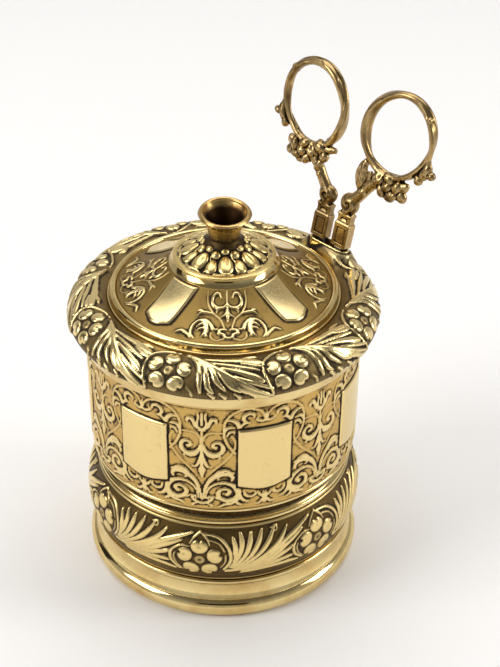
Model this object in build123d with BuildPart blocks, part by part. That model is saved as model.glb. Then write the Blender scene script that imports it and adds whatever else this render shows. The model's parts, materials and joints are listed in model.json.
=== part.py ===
"""Brass string box with a lift-off lid, a trumpet spout and a pair of scissors in the lid.

Millimetres, +Z up. The origin is at the middle of the foot, on the surface the box stands on,
and the front of the box faces -Y. The scissors stand in a slot at the back right of the lid.
"""
from build123d import *
from math import cos, hypot, radians, sin
import os

# ---- driving dimensions: the box ----
sheet = 0.8                    # thickness of the stamped brass sheet
joint_gap = 0.05               # gap between soldered or screwed pieces
lid_gap = 0.3                  # radial play of the lid on the body

body_radius = 42.3
foot_spread = 1.7              # how far the foot reaches out past the wall
foot_height = 6.2
foot_width = 3.7
plate_rise = 0.0               # underside of the bottom plate above the table
base_band_bottom = 14.0
base_band_height = 21.2
band_bulge = 1.9               # how far the base band swells past the wall
waist_height = 7.4
wall_height = 42.4
shield_count = 7
shield_turn = 17.0             # angle of one shield, from the front towards +X
shield_width = 16.3
shield_foot_margin = 7.0       # plain shields above the waist moulding
shield_head_margin = 13.0      # and below the top of the wall
shield_point = 1.8             # drop of the shield's pointed foot
shield_rise = 0.7              # how far a shield stands proud of the wall

# ---- driving dimensions: the lid ----
band_height = 3.6
rim_overhang = 4.7             # how far the chased roll reaches out past the wall
rim_widest_rise = 3.4          # the roll's widest level above the top of the wall
rim_crest_rise = 9.2
rim_crest_inset = 7.5
rim_width = 11.8
rim_inner_drop = 1.0
ring_width = 2.8               # polished ring between the rim and the dome
ring_rise = 3.0
dome_foot_drop = 0.6
dome_rise = 7.8
dome_sag = 1.0                 # how far the dome's side hollows in below a straight cone
dome_top_radius = 17.4
dome_shield_count = 4
dome_shield_turn = 47.5
dome_shield_width = 9.8
dome_shield_rise = 0.6
dome_shield_head = 0.4         # shield's straight edge, out from the flat top
dome_shield_foot = 2.2         # shield's point, in from the dome's foot
skirt_height = 2.4             # plain skirt between the dome and the spout's plate
plate_radius = 15.4
plate_height = 0.6
neck_height = 5.9
neck_wall = 0.6
spout_height = 8.9
spout_lip_radius = 7.9
spout_bore = 3.0
spout_shank = 4.0
spout_lip = 0.7                # half the width of the rolled lip
nut_across_flats = 13.0
nut_height = 3.0
washer_radius = 8.0

# ---- driving dimensions: the scissors and their sheath ----
mouth_inset = 3.6              # slot's middle plane, in from the wall, at the mouth
mouth_offset = 8.5             # slot's middle along that plane
mouth_rise = 12.5              # slot's mouth above the top of the wall
slot_turn = 44.0               # turn of the slot's plane about the box's axis
slot_lean = 10.0               # lean of the sheath, its top outwards
slot_roll = 3.0                # lean of the sheath within its plane
sheath_half_length = 6.9       # inside the sheath, along the slot
sheath_half_gap = 1.9          # inside the sheath, across the slot
sheath_wall = 0.5
sheath_depth = 59.0
collar_height = 6.0
collar_wall = 0.6

pivot_drop = 12.0              # pivot below the slot's mouth
pivot_radius = 1.5
pivot_play = 0.05
screw_head_radius = 2.5
screw_head_height = 0.45
blade_thickness = 1.3
blade_gap = 0.03               # from a blade's flat face to the middle plane
blade_length = 46.0            # pivot to tip
blade_half_width = 4.2
handle_thickness = 3.0
handle_split = 1.5             # half the gap between the two handles
panel_width = 5.4
panel_bottom = 1.0
panel_top = 12.6
volute_radius = 2.9
bow_x = 16.4
bow_y = 41.7
bow_half_width = 9.5           # inside the bow
bow_half_height = 11.6
bow_limb = 2.9                 # width of the bow's limb
bow_lean = 26.0

# ---- levels and radii that follow from them ----
foot_radius = body_radius + foot_spread
base_band_top = base_band_bottom + base_band_height
base_band_bulge = body_radius + band_bulge
waist_top = base_band_top + waist_height
body_top = waist_top + wall_height
shield_bottom = waist_top + shield_foot_margin
shield_top = body_top - shield_head_margin
rim_radius = body_radius + rim_overhang
rim_crest_radius = rim_radius - rim_crest_inset
rim_inner_radius = rim_radius - rim_width
rim_widest_z = body_top + rim_widest_rise
rim_crest_z = body_top + rim_crest_rise
rim_inner_z = rim_crest_z - rim_inner_drop
ring_top = rim_inner_z + ring_rise
dome_foot_radius = rim_inner_radius - ring_width
dome_foot_z = ring_top - dome_foot_drop
dome_top_z = dome_foot_z + dome_rise
dome_shield_inner = dome_top_radius + dome_shield_head
dome_shield_outer = dome_foot_radius - dome_shield_foot
skirt_top_z = dome_top_z + skirt_height
plate_z = skirt_top_z + plate_height
neck_z = plate_z + neck_height
neck_radius = spout_shank + neck_wall
spout_top = neck_z + spout_height
mouth_distance = body_radius - mouth_inset
mouth_z = body_top + mouth_rise


def inset(points, wall):
    """Three points of an arc, moved by the wall towards the arc's centre."""
    (ax, ay), (bx, by), (cx, cy) = points
    d = 2 * (ax * (by - cy) + bx * (cy - ay) + cx * (ay - by))
    sa, sb, sc = ax ** 2 + ay ** 2, bx ** 2 + by ** 2, cx ** 2 + cy ** 2
    ux = (sa * (by - cy) + sb * (cy - ay) + sc * (ay - by)) / d
    uy = (sa * (cx - bx) + sb * (ax - cx) + sc * (bx - ax)) / d
    moved = []
    for x, y in points:
        reach = hypot(ux - x, uy - y)
        moved.append((x + (ux - x) * wall / reach, y + (uy - y) * wall / reach))
    return moved


def save(piece, name):
    piece.part.label = name
    export_step(piece.part, f"parts/{name}.step")


os.makedirs("parts", exist_ok=True)

# ---- foot ring: a rounded plain ring that the box stands on ----
foot_inner = foot_radius - foot_width
foot_flat = foot_radius - 1.8
with BuildPart() as foot_ring:
    with BuildSketch(Plane.XZ):
        with BuildLine():
            Polyline((foot_flat, 0), (foot_inner, 0), (foot_inner, foot_height), (foot_flat, foot_height))
            ThreePointArc((foot_flat, foot_height), (foot_radius, foot_height / 2), (foot_flat, 0))
        make_face()
    revolve(axis=Axis.Z)
save(foot_ring, "foot_ring")

# ---- bottom plate: a disc seated inside the foot ring ----
with BuildPart() as bottom_plate:
    with BuildSketch(Plane.XY.offset(plate_rise)):
        Circle(foot_inner - joint_gap)
    extrude(amount=sheet)
save(bottom_plate, "bottom_plate")

# ---- base moulding: a plain cove with a double fillet above it ----
cove_top = base_band_bottom - 1.5
cove_radius = foot_radius - 3.0
with BuildPart() as base_moulding:
    with BuildSketch(Plane.XZ):
        with BuildLine():
            ThreePointArc((foot_flat, foot_height), (cove_radius, foot_height + 3.0), (cove_radius + 0.1, cove_top))
            Line((cove_radius + 0.1, cove_top), (cove_radius + 0.8, cove_top + 0.1))
            ThreePointArc((cove_radius + 0.8, cove_top + 0.1), (cove_radius + 1.2, base_band_bottom - 0.7),
                          (cove_radius + 0.8, base_band_bottom))
            Polyline((cove_radius + 0.8, base_band_bottom), (cove_radius - sheet, base_band_bottom),
                     (cove_radius - sheet, foot_height), (foot_flat, foot_height))
        make_face()
    revolve(axis=Axis.Z)
save(base_moulding, "base_moulding")

# ---- base band: chased sheet that bulges between the mouldings ----
band_foot_radius = cove_radius + 0.6
band_head_radius = body_radius - 1.9
band_arc = [(band_foot_radius, base_band_bottom), (base_band_bulge, base_band_bottom + 11.5), (band_head_radius, base_band_top)]
band_inner = inset(band_arc, sheet)
band_inner[0] = (band_inner[0][0], base_band_bottom)
band_inner[2] = (band_inner[2][0], base_band_top)
with BuildPart() as base_band:
    with BuildSketch(Plane.XZ):
        with BuildLine():
            ThreePointArc(*band_arc)
            Line(band_arc[2], band_inner[2])
            ThreePointArc(*band_inner)
            Line(band_inner[0], band_arc[0])
        make_face()
    revolve(axis=Axis.Z)
save(base_band, "base_band")

# ---- waist moulding: a half round, a cove and a fine fillet under the chased wall ----
waist_fillet = waist_top - 1.4
with BuildPart() as waist_moulding:
    with BuildSketch(Plane.XZ):
        with BuildLine():
            ThreePointArc((band_head_radius, base_band_top), (band_head_radius + 0.7, base_band_top + 0.85),
                          (band_head_radius, base_band_top + 1.7))
            ThreePointArc((band_head_radius, base_band_top + 1.7), (band_head_radius - 0.9, waist_fillet - 2.4),
                          (body_radius - 1.4, waist_fillet))
            Line((body_radius - 1.4, waist_fillet), (body_radius - 0.4, waist_fillet))
            ThreePointArc((body_radius - 0.4, waist_fillet), (body_radius + 0.1, waist_top - 0.7),
                          (body_radius - 0.4, waist_top))
            Polyline((body_radius - 0.4, waist_top), (body_radius - 3.8, waist_top),
                     (band_head_radius - 1.9, base_band_top), (band_head_radius, base_band_top))
        make_face()
    revolve(axis=Axis.Z)
save(waist_moulding, "waist_moulding")

# ---- body wall: a straight chased tube with plain raised shields ----
body_inner = body_radius - sheet
shield_shoulder = shield_bottom + shield_point
with BuildPart() as shields:
    with BuildSketch(Plane.XZ):
        with BuildLine():
            half = shield_width / 2
            Polyline((-half, shield_shoulder), (-half, shield_top), (half, shield_top), (half, shield_shoulder))
            ThreePointArc((half, shield_shoulder), (half * 0.5, shield_bottom + 0.7 * shield_point), (0, shield_bottom))
            ThreePointArc((0, shield_bottom), (-half * 0.5, shield_bottom + 0.7 * shield_point), (-half, shield_shoulder))
        make_face()
    extrude(amount=body_radius + 2 * shield_rise)
    with BuildSketch(Plane.XY.offset(shield_bottom - 1)):
        Circle(body_radius + shield_rise)
        Circle(body_radius - sheet / 2, mode=Mode.SUBTRACT)
    extrude(amount=shield_top - shield_bottom + 2, mode=Mode.INTERSECT)
shield_step = 360 / shield_count
with BuildPart() as body_wall:
    with BuildSketch(Plane.XY.offset(waist_top)):
        Circle(body_radius)
        Circle(body_inner, mode=Mode.SUBTRACT)
    extrude(amount=body_top - waist_top)
    for count in range(shield_count):
        add(shields.part.rotate(Axis.Z, shield_turn + count * shield_step))
save(body_wall, "body_wall")

# ---- the plane of the scissors: x along the slot, y up the sheath, z out of the box ----
along = Vector(1, 0, 0).rotate(Axis.Z, -slot_turn)
out = Vector(0, 1, 0).rotate(Axis.Z, -slot_turn)
up = Vector(0, 0, 1) * cos(radians(slot_lean)) + out * sin(radians(slot_lean))
slot_x = along * cos(radians(slot_roll)) - up * sin(radians(slot_roll))
slot_y = along * sin(radians(slot_roll)) + up * cos(radians(slot_roll))
mouth = out * mouth_distance + along * mouth_offset + Vector(0, 0, mouth_z)
scissor_plane = Plane(origin=mouth, x_dir=slot_x, z_dir=slot_x.cross(slot_y))
mouth_plane = Plane(origin=mouth, x_dir=slot_x, z_dir=slot_y)


def slot_prism(extra, bottom, top):
    """A round-ended bar along the sheath, larger than its inside by extra all round."""
    with BuildPart(mode=Mode.PRIVATE) as prism:
        with BuildSketch(mouth_plane.offset(bottom)):
            SlotOverall(2 * (sheath_half_length + extra), 2 * (sheath_half_gap + extra))
        extrude(amount=top - bottom)
    return prism.part


# ---- sheath: a flat tube with a closed bottom that holds the blades ----
with BuildPart() as sheath:
    add(slot_prism(sheath_wall, -sheath_depth - sheath_wall, -joint_gap))
    add(slot_prism(0, -sheath_depth, 0), mode=Mode.SUBTRACT)
save(sheath, "sheath")

# ---- slot collar: the raised mouth of the sheath on the rim ----
with BuildPart() as slot_collar:
    add(slot_prism(collar_wall, -collar_height, 0))
    fillet(slot_collar.faces().sort_by(Axis.Z)[-1].edges(), collar_wall * 0.4)
    add(slot_prism(sheath_wall, -collar_height - 1, -joint_gap), mode=Mode.SUBTRACT)
    add(slot_prism(0, -1, 1), mode=Mode.SUBTRACT)
save(slot_collar, "slot_collar")

# ---- lid band: the polished edge that drops over the wall, with a ledge that rests on it ----
band_inner_radius = body_radius + lid_gap
band_bottom = body_top - band_height
with BuildPart() as lid_band:
    with BuildSketch(Plane.XZ):
        with BuildLine():
            Polyline((band_inner_radius, band_bottom), (band_inner_radius, body_top),
                     (body_inner - 0.1, body_top), (body_inner - 0.1, body_top + sheet),
                     (band_inner_radius + 2.2, body_top + sheet))
            ThreePointArc((band_inner_radius + 2.2, body_top + sheet), (band_inner_radius + 1.6, body_top - 1.4),
                          (band_inner_radius + 1.1, band_bottom))
            Line((band_inner_radius + 1.1, band_bottom), (band_inner_radius, band_bottom))
        make_face()
    revolve(axis=Axis.Z)
save(lid_band, "lid_band")

# ---- lid rim: the bold chased roll round the lid, pierced for the slot collar ----
rim_foot = (band_inner_radius + 2.2, body_top + sheet)
rim_low = [rim_foot, (rim_radius - 0.5, rim_widest_z - 1.9), (rim_radius, rim_widest_z)]
rim_high = [(rim_radius, rim_widest_z), (rim_radius - 2.3, rim_crest_z - 2.0), (rim_crest_radius, rim_crest_z)]
rim_back = [(rim_crest_radius, rim_crest_z), (rim_crest_radius - 2.0, rim_crest_z - 0.15),
            (rim_inner_radius, rim_inner_z)]
low_in, high_in, back_in = (inset(arc, sheet) for arc in (rim_low, rim_high, rim_back))
low_in[0] = (low_in[0][0], rim_foot[1])
high_in[0] = low_in[2]
back_in[0] = high_in[2]
with BuildPart() as lid_rim:
    with BuildSketch(Plane.XZ):
        with BuildLine():
            ThreePointArc(*rim_low)
            ThreePointArc(*rim_high)
            ThreePointArc(*rim_back)
            Line(rim_back[2], back_in[2])
            ThreePointArc(*back_in)
            ThreePointArc(*high_in)
            ThreePointArc(*low_in)
            Line(low_in[0], rim_foot)
        make_face()
    revolve(axis=Axis.Z)
    add(slot_prism(collar_wall + joint_gap, -collar_height - 8, 1), mode=Mode.SUBTRACT)
save(lid_rim, "lid_rim")

# ---- dome ring: the polished ring and square fillet between the rim and the dome ----
ring_foot_z = rim_inner_z - sheet
ring_side_z = ring_top - 1.1
ring_inner = dome_foot_radius + joint_gap
ring_seat = rim_inner_radius - joint_gap
ring_outer = ring_seat - 0.7
fillet_z = rim_inner_z + 0.7
with BuildPart() as dome_ring:
    with BuildSketch(Plane.XZ):
        with BuildLine():
            Polyline((ring_seat, ring_foot_z), (ring_seat, fillet_z), (ring_outer + 0.3, fillet_z),
                     (ring_outer, ring_side_z))
            ThreePointArc((ring_outer, ring_side_z), ((ring_outer + ring_inner) / 2, ring_top),
                          (ring_inner, ring_side_z))
            Polyline((ring_inner, ring_side_z), (ring_inner, ring_foot_z), (ring_seat, ring_foot_z))
        make_face()
    revolve(axis=Axis.Z)
save(dome_ring, "dome_ring")

# ---- lid dome: chased sheet with plain raised shields and a flat top for the spout ----
dome_mid = ((dome_foot_radius + dome_top_radius) / 2, (dome_foot_z + dome_top_z) / 2 - dome_sag)
dome_arc = [(dome_foot_radius, dome_foot_z), dome_mid, (dome_top_radius, dome_top_z)]
dome_in = inset(dome_arc, -sheet)
dome_hole = spout_shank + joint_gap
dome_low = inset(dome_arc, -sheet / 2)
dome_high = inset(dome_arc, dome_shield_rise)
dome_half = dome_shield_width / 2
dome_ear = dome_shield_outer - 2.2
with BuildPart() as dome_shields:
    with BuildSketch(Plane.XY):
        with BuildLine():
            Polyline((-dome_half + 0.4, -dome_ear), (-dome_half, -dome_shield_inner),
                     (dome_half, -dome_shield_inner), (dome_half - 0.4, -dome_ear))
            ThreePointArc((dome_half - 0.4, -dome_ear), (dome_half * 0.5, -dome_ear - 0.9),
                          (0, -dome_shield_outer))
            ThreePointArc((0, -dome_shield_outer), (-dome_half * 0.5, -dome_ear - 0.9),
                          (-dome_half + 0.4, -dome_ear))
        make_face()
    extrude(amount=2 * dome_top_z)
    with BuildSketch(Plane.XZ):
        with BuildLine():
            ThreePointArc(*dome_low)
            Line(dome_low[2], dome_high[2])
            ThreePointArc(*dome_high)
            Line(dome_high[0], dome_low[0])
        make_face()
    revolve(axis=Axis.Z, mode=Mode.INTERSECT)
dome_shield_step = 360 / dome_shield_count
with BuildPart() as lid_dome:
    with BuildSketch(Plane.XZ):
        with BuildLine():
            ThreePointArc(*dome_arc)
            Polyline(dome_arc[2], (dome_hole, dome_top_z), (dome_hole, dome_top_z - sheet),
                     (dome_in[2][0], dome_top_z - sheet), dome_in[2])
            ThreePointArc(*dome_in)
            Polyline(dome_in[0], (dome_foot_radius, ring_foot_z), (dome_foot_radius, dome_foot_z))
        make_face()
    revolve(axis=Axis.Z)
    for count in range(dome_shield_count):
        add(dome_shields.part.rotate(Axis.Z, dome_shield_turn + count * dome_shield_step))
save(lid_dome, "lid_dome")

# ---- spout collar: a plain spun skirt under the chased plate ----
with BuildPart() as spout_collar:
    with BuildSketch(Plane.XZ):
        with BuildLine():
            ThreePointArc((dome_top_radius, dome_top_z), (plate_radius + 0.5, dome_top_z + 0.9),
                          (plate_radius - 0.4, skirt_top_z))
            Polyline((plate_radius - 0.4, skirt_top_z), (dome_hole, skirt_top_z),
                     (dome_hole, dome_top_z), (dome_top_radius, dome_top_z))
        make_face()
    revolve(axis=Axis.Z)
save(spout_collar, "spout_collar")

# ---- spout plate: the chased boss that rises to the spout, with a beaded edge ----
with BuildPart() as spout_plate:
    with BuildSketch(Plane.XZ):
        with BuildLine():
            ThreePointArc((plate_radius, skirt_top_z), (plate_radius + 0.1, skirt_top_z + 0.4),
                          (plate_radius - 0.6, plate_z + 0.3))
            Line((plate_radius - 0.6, plate_z + 0.3), (plate_radius - 2.0, plate_z + 0.1))
            ThreePointArc((plate_radius - 2.0, plate_z + 0.1), (neck_radius + 3.6, plate_z + 2.5),
                          (neck_radius, neck_z))
            Polyline((neck_radius, neck_z), (dome_hole, neck_z), (dome_hole, skirt_top_z),
                     (plate_radius, skirt_top_z))
        make_face()
    revolve(axis=Axis.Z)
save(spout_plate, "spout_plate")

# ---- spout: a trumpet with a rolled lip and a shank that passes down through the lid ----
shank_bottom = dome_top_z - 2 * sheet - nut_height - 1.0
with BuildPart() as spout:
    with BuildSketch(Plane.XZ):
        with BuildLine():
            Polyline((spout_shank, neck_z), (spout_shank, shank_bottom), (spout_bore, shank_bottom),
                     (spout_bore, neck_z + 0.8))
            ThreePointArc((spout_bore, neck_z + 0.8), (spout_bore + 1.2, neck_z + 4.3),
                          (spout_lip_radius - 2 * spout_lip, spout_top - spout_lip))
            ThreePointArc((spout_lip_radius - 2 * spout_lip, spout_top - spout_lip), (spout_lip_radius - spout_lip, spout_top),
                          (spout_lip_radius, spout_top - spout_lip))
            ThreePointArc((spout_lip_radius, spout_top - spout_lip), (neck_radius + 0.9, neck_z + 4.1),
                          (neck_radius, neck_z))
            Line((neck_radius, neck_z), (spout_shank, neck_z))
        make_face()
    revolve(axis=Axis.Z)
save(spout, "spout")

# ---- washer and nut that draw the spout down from inside the lid ----
washer_top = dome_top_z - sheet
with BuildPart() as spout_washer:
    with BuildSketch(Plane.XY.offset(washer_top - sheet)):
        Circle(washer_radius)
        Circle(dome_hole, mode=Mode.SUBTRACT)
    extrude(amount=sheet)
save(spout_washer, "spout_washer")

with BuildPart() as spout_nut:
    with BuildSketch(Plane.XY.offset(washer_top - sheet - nut_height)):
        RegularPolygon(nut_across_flats / 2, 6, major_radius=False)
        Circle(dome_hole, mode=Mode.SUBTRACT)
    extrude(amount=nut_height)
save(spout_nut, "spout_nut")

# ---- pivot screw: the scissors' rivet-like screw through both blades ----
with BuildPart() as pivot_screw:
    with BuildSketch(scissor_plane.offset(-blade_thickness)):
        with Locations((0, -pivot_drop)):
            Circle(pivot_radius)
    extrude(amount=2 * blade_thickness)
    for side in (-1, 1):
        with BuildSketch(scissor_plane.offset(side * blade_thickness)):
            with Locations((0, -pivot_drop)):
                Circle(screw_head_radius)
        extrude(amount=side * screw_head_height)
save(pivot_screw, "pivot_screw")

# ---- the two halves of the scissors: a steel blade and a cast brass handle each ----
tang_width = 2.6
tang_x = handle_split + panel_width / 2
tang_top = 7.0
socket_play = 0.05


def blade(side):
    """One blade with its tang. side is 1 for the half whose handle is towards the slot's +x."""
    low = blade_gap if side > 0 else -blade_thickness
    thick = blade_thickness - blade_gap
    with BuildPart() as piece:
        with BuildSketch(scissor_plane.offset(low)):
            with Locations((0, -pivot_drop)):
                Circle(blade_half_width + 0.4)
            with BuildLine():
                Polyline((-0.8 * side, -pivot_drop), (side * (tang_x - tang_width / 2), 0),
                         (side * (tang_x - tang_width / 2), tang_top), (side * (tang_x + tang_width / 2), tang_top),
                         (side * (tang_x + tang_width / 2), -1), (side * blade_half_width, -pivot_drop),
                         (-0.8 * side, -pivot_drop))
            make_face()
            with BuildLine():
                tip = (-side * 0.4, -pivot_drop - blade_length)
                Line((side * 2.2, -pivot_drop), (-side * (blade_half_width - 0.4), -pivot_drop))
                ThreePointArc((-side * (blade_half_width - 0.4), -pivot_drop),
                              (-side * 3.0, -pivot_drop - blade_length * 0.55), tip)
                Line(tip, (side * 2.2, -pivot_drop))
            make_face()
            with Locations((0, -pivot_drop)):
                Circle(pivot_radius + pivot_play, mode=Mode.SUBTRACT)
        extrude(amount=thick)
    return piece


def bow_point(half_x, half_y, turn, side):
    """A point on an ellipse round the bow's middle, at an angle from its leaning long axis."""
    x = half_x * sin(radians(turn))
    y = half_y * cos(radians(turn))
    lean = radians(bow_lean)
    return (side * (bow_x + x * cos(lean) + y * sin(lean)), bow_y - x * sin(lean) + y * cos(lean))


def handle(side):
    """One handle: a panelled shank, a scroll, a leafy stem and a leaning oval bow."""
    with BuildPart() as piece:
        with BuildSketch(scissor_plane.offset(-handle_thickness / 2)):
            with Locations((side * tang_x, (panel_bottom + panel_top) / 2)):
                Rectangle(panel_width, panel_top - panel_bottom)
            with Locations((side * (tang_x + 0.6), panel_top + volute_radius)):
                Circle(volute_radius + 0.4)
            with BuildLine():
                Polyline((side * (tang_x - 1.0), panel_top + 2), (side * (tang_x + 2.6), panel_top + 2),
                         (side * 10.6, 23.5), bow_point(bow_half_width + 1, bow_half_height + 1, 178, side),
                         bow_point(bow_half_width + 1, bow_half_height + 1, 212, side), (side * 7.0, 24.6),
                         (side * (tang_x - 1.0), panel_top + 2))
            make_face()
            with Locations((side * bow_x, bow_y)):
                Ellipse(bow_half_width + bow_limb, bow_half_height + bow_limb, rotation=-side * bow_lean)
            with Locations(bow_point(bow_half_width + 4.6, bow_half_height + 4.6, 150, side)):
                Circle(3.4)
            with Locations(bow_point(bow_half_width + bow_limb, bow_half_height, 92, side)):
                Circle(2.0)
            with Locations((side * bow_x, bow_y)):
                Ellipse(bow_half_width, bow_half_height, rotation=-side * bow_lean, mode=Mode.SUBTRACT)
        extrude(amount=handle_thickness)
        with BuildSketch(scissor_plane.offset(-blade_thickness - socket_play)):
            with Locations((side * tang_x, (panel_bottom + tang_top) / 2)):
                Rectangle(tang_width + 2 * socket_play, tang_top - panel_bottom + 2 * socket_play)
        extrude(amount=2 * (blade_thickness + socket_play), mode=Mode.SUBTRACT)
    return piece


for side, hand in ((1, "right"), (-1, "left")):
    save(blade(side), f"{hand}_blade")
    save(handle(side), f"{hand}_handle")
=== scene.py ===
# %% [markdown]
# # A brass string box with its scissors
# The box holds a ball of string. The string comes out of the trumpet spout on the lid, and the
# scissors that cut it stand in a slot at the back. The CAD model gives every piece its place, and
# this lesson makes the surfaces: chased bands, polished rings and cast handles.

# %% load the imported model
import json
import math

import bmesh
import bpy
import numpy as np
from mathutils import Matrix, Vector


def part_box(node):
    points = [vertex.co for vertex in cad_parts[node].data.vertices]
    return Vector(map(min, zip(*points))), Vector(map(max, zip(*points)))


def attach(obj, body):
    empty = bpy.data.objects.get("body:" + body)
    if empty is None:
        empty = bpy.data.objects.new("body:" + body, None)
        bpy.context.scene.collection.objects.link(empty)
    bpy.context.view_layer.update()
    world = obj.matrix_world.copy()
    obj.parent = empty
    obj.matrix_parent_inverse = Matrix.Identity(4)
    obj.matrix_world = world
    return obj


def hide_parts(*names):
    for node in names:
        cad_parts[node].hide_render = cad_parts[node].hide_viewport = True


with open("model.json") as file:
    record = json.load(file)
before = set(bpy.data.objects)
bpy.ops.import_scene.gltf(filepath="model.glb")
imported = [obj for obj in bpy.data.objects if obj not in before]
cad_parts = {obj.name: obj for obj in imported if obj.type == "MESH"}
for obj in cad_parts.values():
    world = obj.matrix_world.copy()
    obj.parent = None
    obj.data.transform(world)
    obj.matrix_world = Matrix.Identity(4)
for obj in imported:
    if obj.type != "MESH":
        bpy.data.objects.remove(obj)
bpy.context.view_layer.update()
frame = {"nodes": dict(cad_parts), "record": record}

MM = 0.001
record = frame["record"]

# %% [markdown]
# ## Finishes
# The box is stamped and spun brass, gilt, then rubbed for a century. Polish takes the colour off
# the high places and leaves a brown film of old lacquer and dust in the hollows. Each finish
# reads two values that the pieces carry: how high the chasing stands, and how deep a place lies
# below what is around it. The film follows the second value, as it does on the real metal, and it
# also paints the shade that falls in the hollows.

# %% colours and one helper that adds a node
def colour(code):
    """An sRGB hex colour as the linear values that a shader works in."""
    parts = [int(code[i:i + 2], 16) / 255 for i in (1, 3, 5)]
    return [v / 12.92 if v <= 0.04045 else ((v + 0.055) / 1.055) ** 2.4 for v in parts] + [1.0]


def add(tree, kind, settings=None, **links):
    """Add a node, set its properties and sockets, and link its inputs."""
    made = tree.nodes.new(kind)
    for key, value in (settings or {}).items():
        if isinstance(key, str) and hasattr(made, key):
            setattr(made, key, value)
        else:
            made.inputs[key].default_value = value
    for key, source in links.items():
        numbered = key[0] == "i" and key[1:].isdigit()
        tree.links.new(source, made.inputs[int(key[1:]) if numbered else key])
    return made


def new_finish(name):
    """An empty material with its shader node, and the coordinates that its patterns follow."""
    made = bpy.data.materials.new(name)
    made.use_nodes = True
    tree = made.node_tree
    shader = tree.nodes["Principled BSDF"]
    place = add(tree, "ShaderNodeTexCoord").outputs["Object"]
    return made, tree, shader, place


def noise(tree, place, scale, detail, rough=0.5):
    """A cloudy value whose blotches are about one over scale wide, in metres."""
    return add(tree, "ShaderNodeTexNoise", {"Scale": scale, "Detail": detail, "Roughness": rough},
               Vector=place).outputs["Fac"]


def ramp(tree, value, low, high, start=0.0, end=1.0, kind="LINEAR"):
    """A value that runs from low to high, made to run from start to end."""
    return add(tree, "ShaderNodeMapRange", {"interpolation_type": kind, "From Min": low, "From Max": high,
                                            "To Min": start, "To Max": end}, Value=value).outputs[0]


def plus(tree, value, other, times=1.0):
    """other and so many times value."""
    return add(tree, "ShaderNodeMath", {"operation": "MULTIPLY_ADD", 1: times}, i0=value, i2=other).outputs[0]


# %% chased brass: rubbed gilt highs over a dull ground, with film and painted shade in its hollows
FILM_AND_SHADE_RANGE = 0.15                                 # mm of depth from the first trace of film and painted shade to a full coat


def chased_finish(name, high, ground, film_and_shade, film_and_shade_start, rough_high, rough_ground):
    """Gilt brass with relief. A brown coat of old lacquer, which also paints the shade in the hollows, gathers
    where the cavity value rises above film_and_shade_start.
    """
    made, tree, shader, place = new_finish(name)
    relief = add(tree, "ShaderNodeAttribute", {"attribute_name": "relief"}).outputs["Fac"]
    cavity = add(tree, "ShaderNodeAttribute", {"attribute_name": "cavity"}).outputs["Fac"]
    # blotches of 5 mm: where the film was wiped away more, or less
    blotch = noise(tree, place, 200.0, 5.0, 0.6)
    # pits and brush marks of 0.35 mm, left by the matting punch on the ground
    grain = noise(tree, place, 2800.0, 3.0, 0.65)
    rubbed = ramp(tree, relief, 0.10, 0.42)
    gilt = add(tree, "ShaderNodeMix", {"data_type": "RGBA", 6: colour(ground), 7: colour(high)}, i0=rubbed)
    # the cavity, shaken by blotches and grain, lays the brown film of old lacquer and the painted shade in the
    # hollows
    deep = plus(tree, cavity, ramp(tree, blotch, 0.25, 0.75, -0.09, 0.09))
    deep = plus(tree, deep, ramp(tree, grain, 0.3, 0.7, -0.05, 0.05))
    filmed_and_shaded = ramp(tree, deep, film_and_shade_start, film_and_shade_start + FILM_AND_SHADE_RANGE, kind="SMOOTHSTEP")
    toned = add(tree, "ShaderNodeMix", {"data_type": "RGBA", 7: colour(film_and_shade)}, i0=filmed_and_shaded, i6=gilt.outputs[2])
    tree.links.new(toned.outputs[2], shader.inputs["Base Color"])
    tree.links.new(ramp(tree, filmed_and_shaded, 0, 1, 1.0, 0.62), shader.inputs["Metallic"])
    dull = plus(tree, filmed_and_shaded, ramp(tree, rubbed, 0, 1, rough_ground, rough_high), 0.22)
    tree.links.new(plus(tree, grain, dull, 0.16), shader.inputs["Roughness"])
    punched = add(tree, "ShaderNodeBump", {"Distance": 0.06 * MM}, Height=grain,
                  Strength=ramp(tree, rubbed, 0, 1, 0.5, 0.12))
    tree.links.new(punched.outputs["Normal"], shader.inputs["Normal"])
    return made


# the third colour of each is the brown film of old lacquer, which also serves as painted shade in the hollows
wall_brass = chased_finish("chased_gilt_brass_wall", "#EDD394", "#CFAA62", "#241808", 0.035, 0.17, 0.30)
roll_brass = chased_finish("chased_gilt_brass_roll", "#EFD698", "#7A6640", "#2C2111", 0.02, 0.15, 0.36)
base_brass = chased_finish("chased_gilt_brass_base", "#EBD08E", "#5E4A28", "#281C0D", 0.02, 0.17, 0.36)
dome_brass = chased_finish("chased_gilt_brass_dome", "#F0D79A", "#8E7440", "#2E220F", 0.02, 0.17, 0.38)
plate_brass = chased_finish("chased_gilt_brass_plate", "#E6CB88", "#4E3E24", "#221910", 0.02, 0.20, 0.42)
print("chased finishes:", [m.name for m in bpy.data.materials if m.name.startswith("chased")])
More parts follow.
